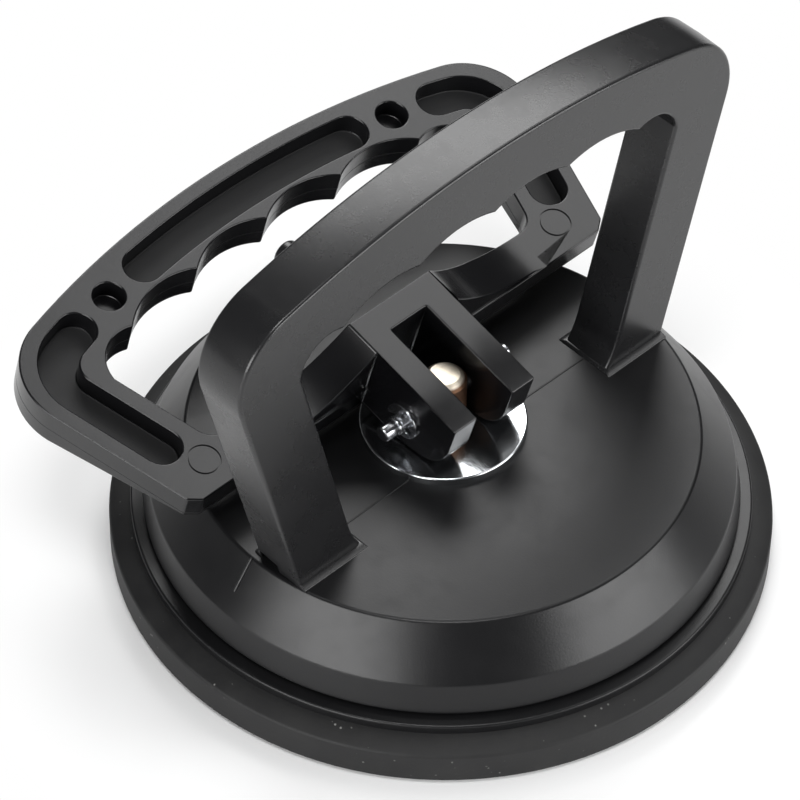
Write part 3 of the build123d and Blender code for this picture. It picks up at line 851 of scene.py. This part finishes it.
def stud_metal(colours, top):
    """Stud: a pale turned end over a brown side, split by height; the end's paleness is partly
    bare metal and partly painted highlight, the side's dark brown partly stain and partly painted
    shade.
    """
    finish = Finish(bpy.data.materials.new("stud steel and painted light"))
    # Painted light: this height mask lights the end as a painted highlight and leaves the side in
    # painted shade.
    pale = finish.along("Z").ramp(top - 0.0009, 2600.0)
    stain = finish.noise(420.0, 4.0, 0.65)
    lines = finish.noise(260.0, 4.0, 0.7, (1, 1, 14))
    shader = finish.node(
        "ShaderNodeBsdfPrincipled", {},
        {
            "Base Color": finish.mix(
                (pale * (0.55 + stain * 0.8)).clipped(), colours.stud_side_and_shade, colours.stud_top_and_highlight
            ),
            "Metallic": 0.9,
            "Roughness": 0.34 + stain * 0.2,
            "Normal": finish.bump(
                finish.noise(2400.0, 3.0), 0.00005, 0.7, finish.bump(lines, 0.00008, 0.6)
            ),
        },
    )
    return finish.finished(shader)


def floor_paint(pale):
    """Pale satin floor that fades to plain white away from the lifter."""
    finish = Finish(bpy.data.materials.new("studio floor"))
    cloud = finish.noise(14.0, 3.0)
    paint = finish.node(
        "ShaderNodeBsdfPrincipled", {},
        {
            "Base Color": finish.mix(cloud, pale, tuple(c * 0.985 for c in pale)),
            "Roughness": 0.32 + cloud * 0.05,
            "IOR": 1.35,
        },
    )
    white = finish.node("ShaderNodeEmission", {}, {"Color": (1, 1, 1, 1), "Strength": 1.0})
    distance = finish.node(
        "ShaderNodeVectorMath", {"operation": "LENGTH"}, {0: finish.place()}, output="Value"
    )
    seen = finish.node("ShaderNodeLightPath", output="Is Camera Ray")
    shader = finish.node(
        "ShaderNodeMixShader", {}, {0: seen * distance.ramp(0.060, 30.0), 1: paint, 2: white}
    )
    return finish.finished(shader)


def studio_world():
    """Faint even light, seen by the camera as plain white."""
    finish = Finish(bpy.data.worlds.new("studio"))
    faint = {"Color": (0.96, 0.98, 1.0, 1), "Strength": 0.05}
    soft = finish.node("ShaderNodeBackground", {}, faint)
    white = finish.node("ShaderNodeBackground", {}, {"Color": (1, 1, 1, 1), "Strength": 1.0})
    seen = finish.node("ShaderNodeLightPath", output="Is Camera Ray")
    return finish.finished(finish.node("ShaderNodeMixShader", {}, {0: seen, 1: soft, 2: white}))


# Makers


class LIFTER_OT_pad(bpy.types.Operator):
    """Model the rubber pad"""

    bl_idname = "lifter.pad"
    bl_label = "Pad"

    def execute(self, context):
        s = context.scene.lifter_pad
        inner = context.scene.lifter_housing.flange_radius
        outline = [
            (0, 0),
            (s.radius - s.foot_chamfer, 0),
            (s.radius, s.foot_chamfer),
            (s.radius, s.rim_height),
            (inner, s.shoulder_height),
            (s.well_radius + s.well_draft, s.shoulder_height),
            (s.well_radius, s.web),
            (0, s.web),
        ]
        pad = turned("pad", outline, {2: s.foot_chamfer / 2, 3: s.rim_round}, 240)
        shade(pad)
        rubber = pad_rubber(context.scene.lifter_finishes)
        fitted(pad, "cup", "pad_rubber", rubber, "suction_pad")
        return {"FINISHED"}


class LIFTER_OT_housing(bpy.types.Operator):
    """Model the dome of the housing with its flange, groove and skirt"""

    bl_idname = "lifter.housing"
    bl_label = "Housing dome"

    def execute(self, context):
        s = context.scene.lifter_housing
        h = context.scene.lifter_handle
        w = context.scene.lifter_hardware
        seat = context.scene.lifter_pad.shoulder_height
        ceiling = s.crown_height - s.wall
        flange_top = seat + s.flange_height
        skirt_foot = flange_top + s.groove_height
        outline = [
            (s.bore_radius, ceiling - s.boss_drop),
            (s.boss_radius, ceiling - s.boss_drop),
            (s.boss_radius, ceiling),
            (s.crease_radius - s.wall / 2, ceiling),
            (s.shoulder_radius - s.wall, s.shoulder_height - s.wall / 2),
            (s.skirt_radius - s.wall, seat),
            (s.flange_radius, seat),
            (s.flange_radius, flange_top),
            (s.groove_radius, flange_top),
            (s.groove_radius, skirt_foot),
            (s.skirt_radius, skirt_foot),
            (s.shoulder_radius, s.shoulder_height),
            (s.crease_radius, s.crease_height),
            (w.washer_radius, s.crown_height),
            (s.bore_radius, s.crown_height),
        ]
        radii = {
            7: s.flange_round, 8: s.groove_height / 4, 9: s.groove_height / 4,
            10: s.skirt_round * 0.6, 11: s.shoulder_round, 12: s.crease_round,
        }
        dome = turned("housing_dome", outline, radii, 240)
        shade(dome)
        plastic = housing_plastic(context.scene.lifter_finishes, s.crease_height)
        fitted(dome, "cup", "housing_plastic", plastic, "housing")

        # Fine bead down the near cone
        fall = Vector(
            (0, s.crease_radius - s.shoulder_radius, s.shoulder_height - s.crease_height)
        )
        bead = drum("cone_bead", s.ridge_radius, 0, s.ridge_length, steps=24)
        apply_modifier(bead, "BEVEL", width=s.ridge_radius * 0.6, segments=3, limit_method="ANGLE")
        pick(bead)
        bead.matrix_world = Matrix.Translation((0, -s.crease_radius, s.crease_height)) @ (
            fall.to_track_quat("Z", "Y").to_matrix().to_4x4()
        )
        bpy.ops.object.transform_apply(location=True, rotation=True, scale=True)
        shade(bead)
        fitted(bead, "cup", "housing_plastic", plastic)

        # The mould's parting line, from the washer to each foot
        slope = (s.crown_height - s.crease_height) / (s.crease_radius - w.washer_radius)
        near = sqrt(w.washer_radius**2 - h.offset**2)
        far = h.foot - h.leg_width / cos(h.lean)
        low_end = s.crown_height - slope * (far - near)
        for way, word in SIDES:
            start = (way * near, s.crown_height - s.seam_height)
            seam = slab(
                "seam_" + word, Y, Z, start,
                [
                    (way * near, s.crown_height + s.seam_height),
                    (way * far, low_end + s.seam_height), (way * far, low_end - s.seam_height),
                    start,
                ],
                X * s.seam_width,
            )
            slid(seam, X * (h.offset - s.seam_width / 2))
            soften(seam, s.seam_height, 2)
            fitted(seam, "cup", "housing_plastic", plastic)
        return {"FINISHED"}


def reversed_runs(start, runs):
    """The same arcs drawn the other way, from their last end to their start."""
    ends = [start] + [run[1] for run in runs]
    return [(run[0], ends[i]) for i, run in reversed(list(enumerate(runs)))]


def handle_outline(s, top):
    """Start and runs of the arched handle, with its flared legs and its finger grip."""
    base = top - s.leg_root
    first, middle, last = corner_arc(
        s.foot, top, s.lean, s.height, s.crown_radius, s.corner_radius
    )
    inner_start, scallops = fingers(
        s.height, s.crown_radius, s.grip_depth, s.finger_depth, s.inner_radius, s.corner_run,
        lambda height: s.inner_at(height, top),
    )
    start = (s.inner_at(base, top) - s.flare_width, base)
    foot = (s.outer_at(base, top), base)
    flare = []
    for rise in (0, 0.12, 0.26, 0.42, 0.6, 0.8, 1):
        height = s.lip_height + rise * s.flare_height
        flare.append((s.inner_at(height, top) - s.flare_width * (1 - rise) ** 2, height))
    return start, [
        foot, first, (middle, last), ((0, s.height), flip(last)), (flip(middle), flip(first)),
        flip(foot), flip(start), *[flip(point) for point in flare], flip(inner_start),
        *reversed_runs(inner_start, scallops), *flare[::-1], start,
    ]


def round_rims(piece, rim, base, width):
    """Round the edges of both flat faces of a drafted piece, all but those at its base."""
    pick(piece)
    bpy.ops.object.mode_set(mode="EDIT")
    bpy.ops.mesh.select_mode(type="EDGE")
    bpy.ops.mesh.select_all(action="DESELECT")
    bpy.ops.object.mode_set(mode="OBJECT")
    for edge in piece.data.edges:
        ends = [piece.data.vertices[i].co for i in edge.vertices]
        edge.select = all(abs(abs(p.x) - rim) < 1e-5 and p.z > base + 1e-4 for p in ends)
    bpy.ops.object.mode_set(mode="EDIT")
    bpy.ops.mesh.bevel(
        offset=width, segments=4, affect="EDGES", clamp_overlap=False, miter_outer="ARC"
    )
    bpy.ops.object.mode_set(mode="OBJECT")


def foot_lip(s, name, way, top):
    """Thin lip with a sloping top round one foot of the handle."""
    inner = s.inner_at(s.lip_height, top) - s.flare_width - s.lip_inset
    outer = s.outer_at(s.lip_height, top) - s.lip_inset
    deep, wide, here = s.thickness + 2 * s.lip_overhang, outer - inner, top - s.leg_root
    clear_selection()
    bpy.ops.mesh.primitive_plane_add(size=1)
    lip = named(name)
    open_all(lip)
    bpy.ops.transform.resize(value=(deep, wide, 1), center_override=(0, 0, 0))
    bpy.ops.transform.translate(value=(s.offset, way * (inner + outer) / 2, here))
    for height, overhang, shrink in (
        (s.lip_height, s.lip_overhang, 0),
        (s.lip_height + s.lip_rise, -s.lip_inset, s.lip_inset * 2),
    ):
        bpy.ops.mesh.extrude_region_move(TRANSFORM_OT_translate={"value": Z * (height - here)})
        grown = (s.thickness + 2 * overhang, outer - inner - shrink)
        bpy.ops.transform.resize(
            value=(grown[0] / deep, grown[1] / wide, 1),
            center_override=(s.offset, way * outer, height),
        )
        here, (deep, wide) = height, grown
    face_outwards()
    return lip


class LIFTER_OT_handle(bpy.types.Operator):
    """Model the fixed handle with its foot lips and pegs"""

    bl_idname = "lifter.handle"
    bl_label = "Fixed handle"

    def execute(self, context):
        s = context.scene.lifter_handle
        top = context.scene.lifter_housing.crown_height
        # The handle takes a lighter copy of the housing's plastic: painted light for the brighter
        # arch.
        plastic = moulded_plastic(
            "handle plastic painted lighter", context.scene.lifter_finishes.handle, gloss=0.27, grain=0.00002,
            scuffs=0.12,
        )
        arch = drafted("handle_arch", *handle_outline(s, top), s.thickness, s.draft)
        round_rims(arch, s.thickness / 2, top - s.leg_root, s.edge_round)
        slid(arch, X * s.offset)
        lips = [foot_lip(s, "foot_lip_" + word, way, top) for way, word in SIDES]

        # Shut-off notch at the near foot's outer side
        notch = block(
            "notch",
            (s.offset - s.notch_shift, -s.foot, s.notch_base + s.notch_height / 2),
            (s.notch_width, 2 * s.notch_depth, s.notch_height),
        )
        apply_modifier(lips[0], "BOOLEAN", object=notch, operation="DIFFERENCE", solver="EXACT")
        combine(arch, [notch], "DIFFERENCE")
        shade(arch, 30.0)
        fitted(arch, "cup", "housing_plastic", plastic)
        for lip in lips:
            soften(lip, s.edge_round * 0.25, 2, 40.0)
            fitted(lip, "cup", "housing_plastic", plastic)

        # Pegs on the back that meet the raised lever
        for way, word in SIDES:
            peg = drum(
                "peg_" + word, s.peg_radius, s.thickness / 4, s.thickness / 2 + s.peg_length
            )
            apply_modifier(
                peg, "BEVEL", width=s.peg_round, segments=4, limit_method="ANGLE",
                angle_limit=radians(40),
            )
            placed(peg, "Y", -pi / 2, (s.offset, way * s.peg_across, s.peg_height))
            shade(peg)
            fitted(peg, "cup", "housing_plastic", plastic)
        return {"FINISHED"}


class LIFTER_OT_washer(bpy.types.Operator):
    """Model the polished wear washer"""

    bl_idname = "lifter.washer"
    bl_label = "Wear washer"

    def execute(self, context):
        s = context.scene.lifter_hardware
        top = context.scene.lifter_housing.crown_height
        outline = [
            (s.washer_hole, top),
            (s.washer_radius, top),
            (s.washer_radius, top + s.washer_thickness),
            (s.washer_hole, top + s.washer_thickness),
        ]
        washer = turned("washer", outline, {2: s.washer_round, 3: s.washer_round}, 160)
        shade(washer)
        chrome = turned_metal(
            "washer chrome", context.scene.lifter_finishes.chrome, 0.17, (0.12, 1, 1), 0.00003
        )
        fitted(washer, "cup", "washer_chrome", chrome, "wear_washer")
        return {"FINISHED"}


def lever_ring(s):
    """Ring of the lever, seen from above, with an underside that rises towards the fork."""
    first, middle, last = corner_arc(*s.side, s.corner_radius)
    chamfer_up = (
        s.front_half + s.rail_chamfer * sin(s.lean), s.front + s.rail_chamfer * cos(s.lean)
    )
    start = (s.front_half - s.rail_chamfer, s.front)
    runs = [
        chamfer_up, first, (middle, last), ((0, s.reach), flip(last)),
        (flip(middle), flip(first)), flip(chamfer_up), flip(start), start,
    ]
    ring = slab("lever_body", Y, -X, start, runs, Z * -s.plate_thickness)
    slid(ring, Z * -s.plate_drop)
    fall = (s.plate_thickness - s.front_thickness) / s.taper_length
    return trimmed(ring, (-s.front - s.taper_length, 0, -s.underside), Vector((fall, 0, -1)))


def lever_saddle(s):
    """Saddle whose hollow flanks sweep up from the rails' corner blocks to the fork."""
    half = s.front_half - s.rail_block
    saddle_front = s.front + s.saddle_setback
    dip = (
        s.half_fork + s.dip_across * (half - s.half_fork),
        s.dip_height * (s.fork_rise + s.plate_drop) - s.plate_drop,
    )
    low = -s.plate_drop - s.front_thickness / 2
    start = (half, low)
    saddle = slab(
        "saddle", Y, Z, start,
        [
            (half, -s.plate_drop), (dip, (s.half_fork, s.fork_rise)),
            (-s.half_fork, s.fork_rise), (flip(dip), (-half, -s.plate_drop)), (-half, low), start,
        ],
        X * (s.bar_rear - saddle_front),
    )
    slid(saddle, X * -s.bar_rear)
    return trimmed(
        saddle, (s.saddle_draft - s.bar_rear, 0, s.fork_rise),
        Vector((-s.fork_rise - s.plate_drop, 0, s.saddle_draft)),
    )


def grip_opening(s):
    """Cutter for the fingered opening of the lever."""
    inner_start, scallops = fingers(
        s.reach, s.crown_radius, s.grip_depth, s.finger_depth, s.inner_radius, s.corner_run,
        s.inner_at,
    )
    _, (rail_in, rail_arc, *_) = rounded(
        [(0, s.bar_rear), (s.inner_at(s.bar_rear), s.bar_rear), inner_start],
        {1: s.crossbar_round},
    )
    start = flip(rail_in)
    runs = [
        rail_in, rail_arc, inner_start, *scallops, flip(rail_arc[1]), (flip(rail_arc[0]), start),
    ]
    depth = s.fork_rise + s.underside + 2 * s.clearance
    opening = slab("opening", Y, -X, start, runs, Z * -depth)
    return slid(opening, Z * (s.fork_rise + s.clearance))


def lever_fork(s):
    """Fork with its round cam noses and the level facet under them, still without its slot."""
    nose = s.fork_reach - s.nose_radius
    nose_end = (nose + s.nose_radius * sin(s.tilt), nose - s.nose_radius * cos(s.tilt))
    half_turn = (pi / 2 - s.tilt) / 2
    nose_mid = (nose + s.nose_radius * cos(half_turn), nose - s.nose_radius * sin(half_turn))
    facet_rear = nose_end[0] - (nose_end[1] + s.fork_underside) / tan(s.tilt)
    start = (s.fork_reach, nose)
    fork = slab(
        "fork", X, Z, start,
        [
            (nose_mid, nose_end), (facet_rear, -s.fork_underside),
            (-s.bar_rear, -s.fork_underside), (-s.bar_rear, -s.plate_drop),
            (s.saddle_draft - s.bar_rear, s.fork_rise), (s.fork_reach, s.fork_rise), start,
        ],
        Y * (2 * s.half_fork),
    )
    return slid(fork, Y * -s.half_fork)


def pocket_lines(s, hole_across, apex, radius):
    """Middle lines of the arched pocket in the grip and of the two bent ones in the rails."""
    stop = s.hole_radius + s.hole_wall + s.pocket_width / 2
    long_end, count = hole_across - stop, 24
    across = [long_end * (2 * i / count - 1) for i in range(count + 1)]
    rail_middle = s.front_half - (s.pocket_wall + s.pocket_width / 2) / cos(s.lean)
    bend_start = s.bar_rear + s.pocket_gap
    bend_end = hole_across + stop
    bent = bend_line(
        (rail_middle + tan(s.lean) * (bend_start - s.front), bend_start),
        crown_corner(rail_middle, s.front, s.lean, apex, radius),
        (bend_end, crown(apex, radius, bend_end)), s.pocket_bend,
    )
    return [[(x, crown(apex, radius, x)) for x in across], bent, [flip(p) for p in bent]]


def lever_cutters(s):
    """Slot for the stud, pin hole, pockets, blind holes and fine grooves of the marks."""
    slot = block(
        "slot", ((s.fork_reach + s.clearance - s.slot_depth) / 2, 0, 0),
        (s.fork_reach + s.slot_depth + s.clearance, 2 * s.slot_half, 4 * s.underside),
    )
    hole = drum("pin_hole", s.bore_radius, -s.half_fork - s.clearance, s.half_fork + s.clearance)
    cutters = [slot, placed(hole, "X", pi / 2, (0, 0, 0))]
    inset = s.pocket_wall + s.pocket_width / 2
    apex, radius = s.reach - inset, s.crown_radius - inset
    hole_across = crown_corner(*s.side)[0] - s.hole_inset
    for i, line in enumerate(pocket_lines(s, hole_across, apex, radius)):
        start, runs = slot_outline(line, s.pocket_width / 2)
        depth = s.pocket_depth + s.clearance
        pocket = slab(f"pocket_{i}", Y, -X, start, runs, Z * -depth)
        cutters.append(slid(pocket, Z * (s.clearance - s.plate_drop)))
    for way, _ in SIDES:
        place = (-crown(apex, radius, hole_across), way * hole_across)
        cutters.append(
            drum("blind_hole", s.hole_radius, -s.plate_drop - s.hole_depth, s.clearance, place)
        )
        groove = [
            (s.mark_radius - s.mark_width, -s.plate_drop - s.mark_depth),
            (s.mark_radius, -s.plate_drop - s.mark_depth),
            (s.mark_radius, s.clearance),
            (s.mark_radius - s.mark_width, s.clearance),
        ]
        mark = turned("mark", groove, {}, 48)
        cutters.append(slid(mark, Vector((-s.mark_reach, way * s.mark_across, 0))))
    return cutters


def sharp_edges(piece, angle):
    """Numbers of the edges whose two faces meet at more than an angle."""
    faces = {}
    for face in piece.data.polygons:
        for key in face.edge_keys:
            faces.setdefault(key, []).append(face.normal)
    return {
        edge.index
        for edge in piece.data.edges
        if len(pair := faces.get(edge.key, [])) == 2 and pair[0].angle(pair[1], 0) > angle
    }


def round_moulded_edges(ring, s):
    """Round the sharp edges of the lever, all but the fine grooves of its marks."""
    open_all(ring)
    bpy.ops.mesh.select_mode(type="VERT")
    bpy.ops.mesh.select_all(action="SELECT")
    # Short edges go first: merging alone loses a face that meets one corner twice.
    bpy.ops.mesh.dissolve_degenerate(threshold=MERGE_DISTANCE / 2)
    bpy.ops.mesh.remove_doubles(threshold=MERGE_DISTANCE / 2)
    bpy.ops.mesh.dissolve_limited(angle_limit=radians(0.3), delimit=set())
    bpy.ops.object.mode_set(mode="OBJECT")
    weights = ring.data.attributes.new("bevel_weight_edge", "FLOAT", "EDGE")
    sharp = sharp_edges(ring, radians(27))
    near_mark = (s.mark_radius * 1.1) ** 2
    for edge in ring.data.edges:
        ends = [ring.data.vertices[i].co for i in edge.vertices]
        at_mark = all(
            (p.x + s.mark_reach) ** 2 + (abs(p.y) - s.mark_across) ** 2 < near_mark for p in ends
        )
        weights.data[edge.index].value = 1.0 if edge.index in sharp and not at_mark else 0.0
    apply_modifier(
        ring, "BEVEL", width=s.edge_round, segments=3, limit_method="WEIGHT",
        use_clamp_overlap=False, miter_outer="MITER_ARC",
    )


class LIFTER_OT_lever(bpy.types.Operator):
    """Model the cam lever: ring, saddle and fork as one moulding"""

    bl_idname = "lifter.lever"
    bl_label = "Cam lever"

    def execute(self, context):
        s = context.scene.lifter_lever
        ring = lever_ring(s)
        combine(ring, [lever_saddle(s)], "UNION")
        combine(ring, [grip_opening(s)], "DIFFERENCE")
        combine(ring, [lever_fork(s)], "UNION")
        combine(ring, lever_cutters(s), "DIFFERENCE")
        round_moulded_edges(ring, s)
        placed(ring, "Y", s.tilt, (0, 0, s.pin_height))
        shade(ring, 35.0)
        plastic = lever_plastic(context.scene.lifter_finishes, s)
        fitted(ring, "lever_arm", "lever_plastic", plastic, "lever")
        return {"FINISHED"}


def retaining_clip(s, name):
    """Flat open clip round the Z axis, with its mouth towards +X."""
    clip = drum(name, s.clip_radius, 0, s.clip_thickness, steps=96)
    low, high = -s.clip_thickness, 2 * s.clip_thickness
    bore = drum("bore", s.groove_radius + s.play, low, high)
    mouth = block(
        "mouth", (s.clip_radius * 0.6, 0, s.clip_thickness / 2),
        (s.clip_radius * 1.2, s.clip_mouth, high - low),
    )
    reach = s.clip_relief_share * s.clip_radius
    reliefs = [
        drum(
            "relief", s.clip_relief, low, high,
            (-reach * cos(s.clip_spread), way * reach * sin(s.clip_spread)), 48,
        )
        for way, _ in SIDES
    ]
    combine(clip, [bore, mouth, *reliefs], "DIFFERENCE")
    return soften(clip, s.play * 2.4, 2, 40.0)


class LIFTER_OT_pin(bpy.types.Operator):
    """Model the pivot pin and its retaining clips"""

    bl_idname = "lifter.pin"
    bl_label = "Pin and clips"

    def execute(self, context):
        s = context.scene.lifter_hardware
        v = context.scene.lifter_lever
        zinc = turned_metal(
            "pin zinc", context.scene.lifter_finishes.zinc, 0.2, stretch=(1, 0.25, 1)
        )
        start = v.half_fork - s.play
        groove_end = start + s.clip_thickness + 2 * s.play
        collar = v.half_fork + s.collar_start
        half = [
            (s.pin_radius, start),
            (s.groove_radius, start),
            (s.groove_radius, groove_end),
            (s.neck_radius, groove_end),
            (s.neck_radius, collar),
            (s.pin_radius, collar),
            (s.pin_radius, collar + s.collar_width),
            (s.tail_radius, collar + s.collar_width),
            (s.tail_radius, v.half_fork + s.pin_overhang),
            (0, v.half_fork + s.pin_overhang),
        ]
        outline = half + [(r, -h) for r, h in reversed(half)]
        edge = s.pin_chamfer
        radii = {5: edge / 2, 6: edge / 2, 8: edge, 11: edge, 13: edge / 2, 14: edge / 2}
        pin = turned("pin", outline, radii, 64)
        centre = (0, 0, v.pin_height)
        placed(pin, "X", pi / 2, centre)
        shade(pin)
        fitted(pin, "lever_arm", "bright_steel", zinc, "pivot_pin")
        for (_, word), place in zip(SIDES, (-v.half_fork, v.half_fork + s.clip_thickness)):
            clip = retaining_clip(s, "clip_" + word)
            placed(clip, "Z", s.clip_turn, (0, 0, 0))
            placed(clip, "X", pi / 2, (0, place, 0))
            placed(clip, "Y", v.tilt, centre)
            shade(clip)
            fitted(clip, "lever_arm", "bright_steel", zinc, "e_clip_" + word)
        return {"FINISHED"}


class LIFTER_OT_stud(bpy.types.Operator):
    """Model the draw stud that the pin crosses"""

    bl_idname = "lifter.stud"
    bl_label = "Draw stud"

    def execute(self, context):
        s = context.scene.lifter_hardware
        v = context.scene.lifter_lever
        top = v.pin_height + s.stud_above_pin
        outline = [
            (0, s.stud_base),
            (s.stud_radius, s.stud_base),
            (s.stud_radius, top - s.stud_chamfer),
            (s.stud_radius - s.stud_chamfer, top),
            (0, top),
        ]
        stud = turned("stud", outline, {2: s.stud_round, 3: s.stud_round}, 96)
        hole = drum("stud_hole", v.bore_radius, -2 * s.stud_radius, 2 * s.stud_radius)
        placed(hole, "X", pi / 2, (0, 0, v.pin_height))
        combine(stud, [hole], "DIFFERENCE")
        shade(stud, 50.0)
        metal = stud_metal(context.scene.lifter_finishes, top)
        fitted(stud, "stem", "stud_steel", metal, "draw_stud")
        return {"FINISHED"}


class LIFTER_OT_spring(bpy.types.Operator):
    """Model the return spring at rest; in use the rising plate presses it together"""

    bl_idname = "lifter.spring"
    bl_label = "Return spring"

    def execute(self, context):
        s = context.scene.lifter_hardware
        clear_selection()
        bpy.ops.mesh.primitive_circle_add(
            vertices=16, radius=s.spring_wire, location=(s.spring_radius, 0, s.spring_base),
            rotation=(pi / 2, 0, 0),
        )
        spring = named("spring")
        bpy.ops.object.transform_apply(location=True, rotation=True, scale=True)
        steps = 20 * s.spring_half_turns
        apply_modifier(
            spring, "SCREW", angle=s.spring_half_turns * pi, screw_offset=s.spring_height,
            steps=steps, render_steps=steps,
        )
        open_all(spring)
        bpy.ops.mesh.fill_holes(sides=0)
        bpy.ops.mesh.select_all(action="SELECT")
        bpy.ops.mesh.normals_make_consistent(inside=False)
        shade(spring, 50.0)
        steel = context.scene.lifter_finishes.steel
        metal = turned_metal("spring steel", tuple(c * 0.8 for c in steel), 0.28)
        fitted(spring, "cup", "spring_steel", metal, "return_spring")
        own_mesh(spring)
        return {"FINISHED"}


class LIFTER_OT_inner(bpy.types.Operator):
    """Give the plate and the nut inside the housing their steel"""

    bl_idname = "lifter.inner"
    bl_label = "Inner steel"

    def execute(self, context):
        plate = turned_metal("plated steel", context.scene.lifter_finishes.steel, 0.32)
        for node in ("backing_plate", "lock_nut"):
            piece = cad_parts[node]
            piece.data.materials.clear()
            piece.data.materials.append(plate)
        return {"FINISHED"}


# Each lamp's name, place, aim, width, height and power in watts
LAMPS = (
    ("back softbox", (-0.74, 0.70, 1.10), (0, 0, 0.06), 0.8, 0.6, 10.5),
    ("overhead softbox", (0.05, 0.78, 1.28), (0, 0, 0.04), 0.75, 0.65, 4.2),
    ("left softbox", (0.196, -1.396, 0.513), (0, 0, 0.02), 1.25, 0.6, 19.0),
    ("right softbox", (1.337, 0.54, 0.413), (0, 0, 0.02), 1.3, 0.5, 16.0),
    ("front fill", (0.27, -0.27, 1.45), (0, 0, 0.0), 0.5, 0.5, 8.0),
)

CAMERA_PLACE = (0.37474, -0.37887, 0.59718)
CAMERA_AZIMUTH, CAMERA_ELEVATION, CAMERA_ROLL = 45.52, 46.66, 1.06
CAMERA_LENS, SENSOR_WIDTH = 197.72, 36.0
FLOOR_RADIUS, FLOOR_DROP = 6.0, 0.0002


class LIFTER_OT_stage(bpy.types.Operator):
    """Set the pale floor, the studio lamps, the world and the camera"""

    bl_idname = "lifter.stage"
    bl_label = "Studio"

    def execute(self, context):
        clear_selection()
        bpy.ops.mesh.primitive_circle_add(vertices=96, radius=FLOOR_RADIUS, fill_type="NGON")
        ground = named("studio_floor")
        slid(ground, Z * -FLOOR_DROP)
        ground.data.materials.append(floor_paint(context.scene.lifter_finishes.floor))

        for name, place, aim, width, height, power in LAMPS:
            clear_selection()
            bpy.ops.object.light_add(type="AREA", location=place)
            lamp = bpy.context.active_object
            lamp.name = lamp.data.name = name
            towards = Vector(aim) - Vector(place)
            lamp.rotation_euler = towards.to_track_quat("-Z", "Y").to_euler()
            lamp.data.shape = "RECTANGLE"
            lamp.data.size, lamp.data.size_y, lamp.data.energy = width, height, power

        bpy.context.scene.world = studio_world()
        self.add_camera()
        bpy.context.scene.view_settings.view_transform = "Standard"
        return {"FINISHED"}

    def add_camera(self):
        """Camera that sees the lifter as the photograph does."""
        a, e, r = (radians(x) for x in (CAMERA_AZIMUTH, CAMERA_ELEVATION, CAMERA_ROLL))
        back = Vector((sin(a) * cos(e), -cos(a) * cos(e), sin(e)))
        right = Vector((cos(a), sin(a), 0))
        up = back.cross(right)
        right, up = right * cos(r) + up * sin(r), up * cos(r) - right * sin(r)
        clear_selection()
        bpy.ops.object.camera_add(location=CAMERA_PLACE)
        camera = bpy.context.active_object
        camera.name = camera.data.name = "camera"
        turned_to = Matrix((right, up, back)).transposed().to_4x4()
        camera.matrix_world = Matrix.Translation(CAMERA_PLACE) @ turned_to
        camera.data.lens, camera.data.sensor_width = CAMERA_LENS, SENSOR_WIDTH
        camera.data.clip_start, camera.data.clip_end = 0.01, 30.0
        bpy.context.scene.camera = camera


MAKERS = (
    LIFTER_OT_pad,
    LIFTER_OT_housing,
    LIFTER_OT_handle,
    LIFTER_OT_washer,
    LIFTER_OT_lever,
    LIFTER_OT_pin,
    LIFTER_OT_stud,
    LIFTER_OT_spring,
    LIFTER_OT_inner,
    LIFTER_OT_stage,
)


class LIFTER_PT_panel(bpy.types.Panel):
    """Lists the makers and their sizes"""

    bl_idname = "LIFTER_PT_panel"
    bl_label = "Suction lifter"
    bl_space_type = "VIEW_3D"
    bl_region_type = "UI"
    bl_category = "Suction lifter"

    def draw(self, context):
        for maker in MAKERS:
            self.layout.operator(maker.bl_idname)
        for name, group in GROUPS.items():
            box = self.layout.box()
            box.label(text=group.__doc__)
            for key in group.__annotations__:
                box.prop(getattr(context.scene, name), key)


def register():
    for group in GROUPS.values():
        bpy.utils.register_class(group)
    for name, group in GROUPS.items():
        setattr(bpy.types.Scene, name, PointerProperty(type=group))
    for maker in (*MAKERS, LIFTER_PT_panel):
        bpy.utils.register_class(maker)


def unregister():
    for maker in reversed((*MAKERS, LIFTER_PT_panel)):
        bpy.utils.unregister_class(maker)
    for name in GROUPS:
        delattr(bpy.types.Scene, name)
    for group in reversed(GROUPS.values()):
        bpy.utils.unregister_class(group)


def main():
    register()
    for maker in MAKERS:
        family, name = maker.bl_idname.split(".")
        getattr(getattr(bpy.ops, family), name)()


if __name__ == "__main__":
    main()
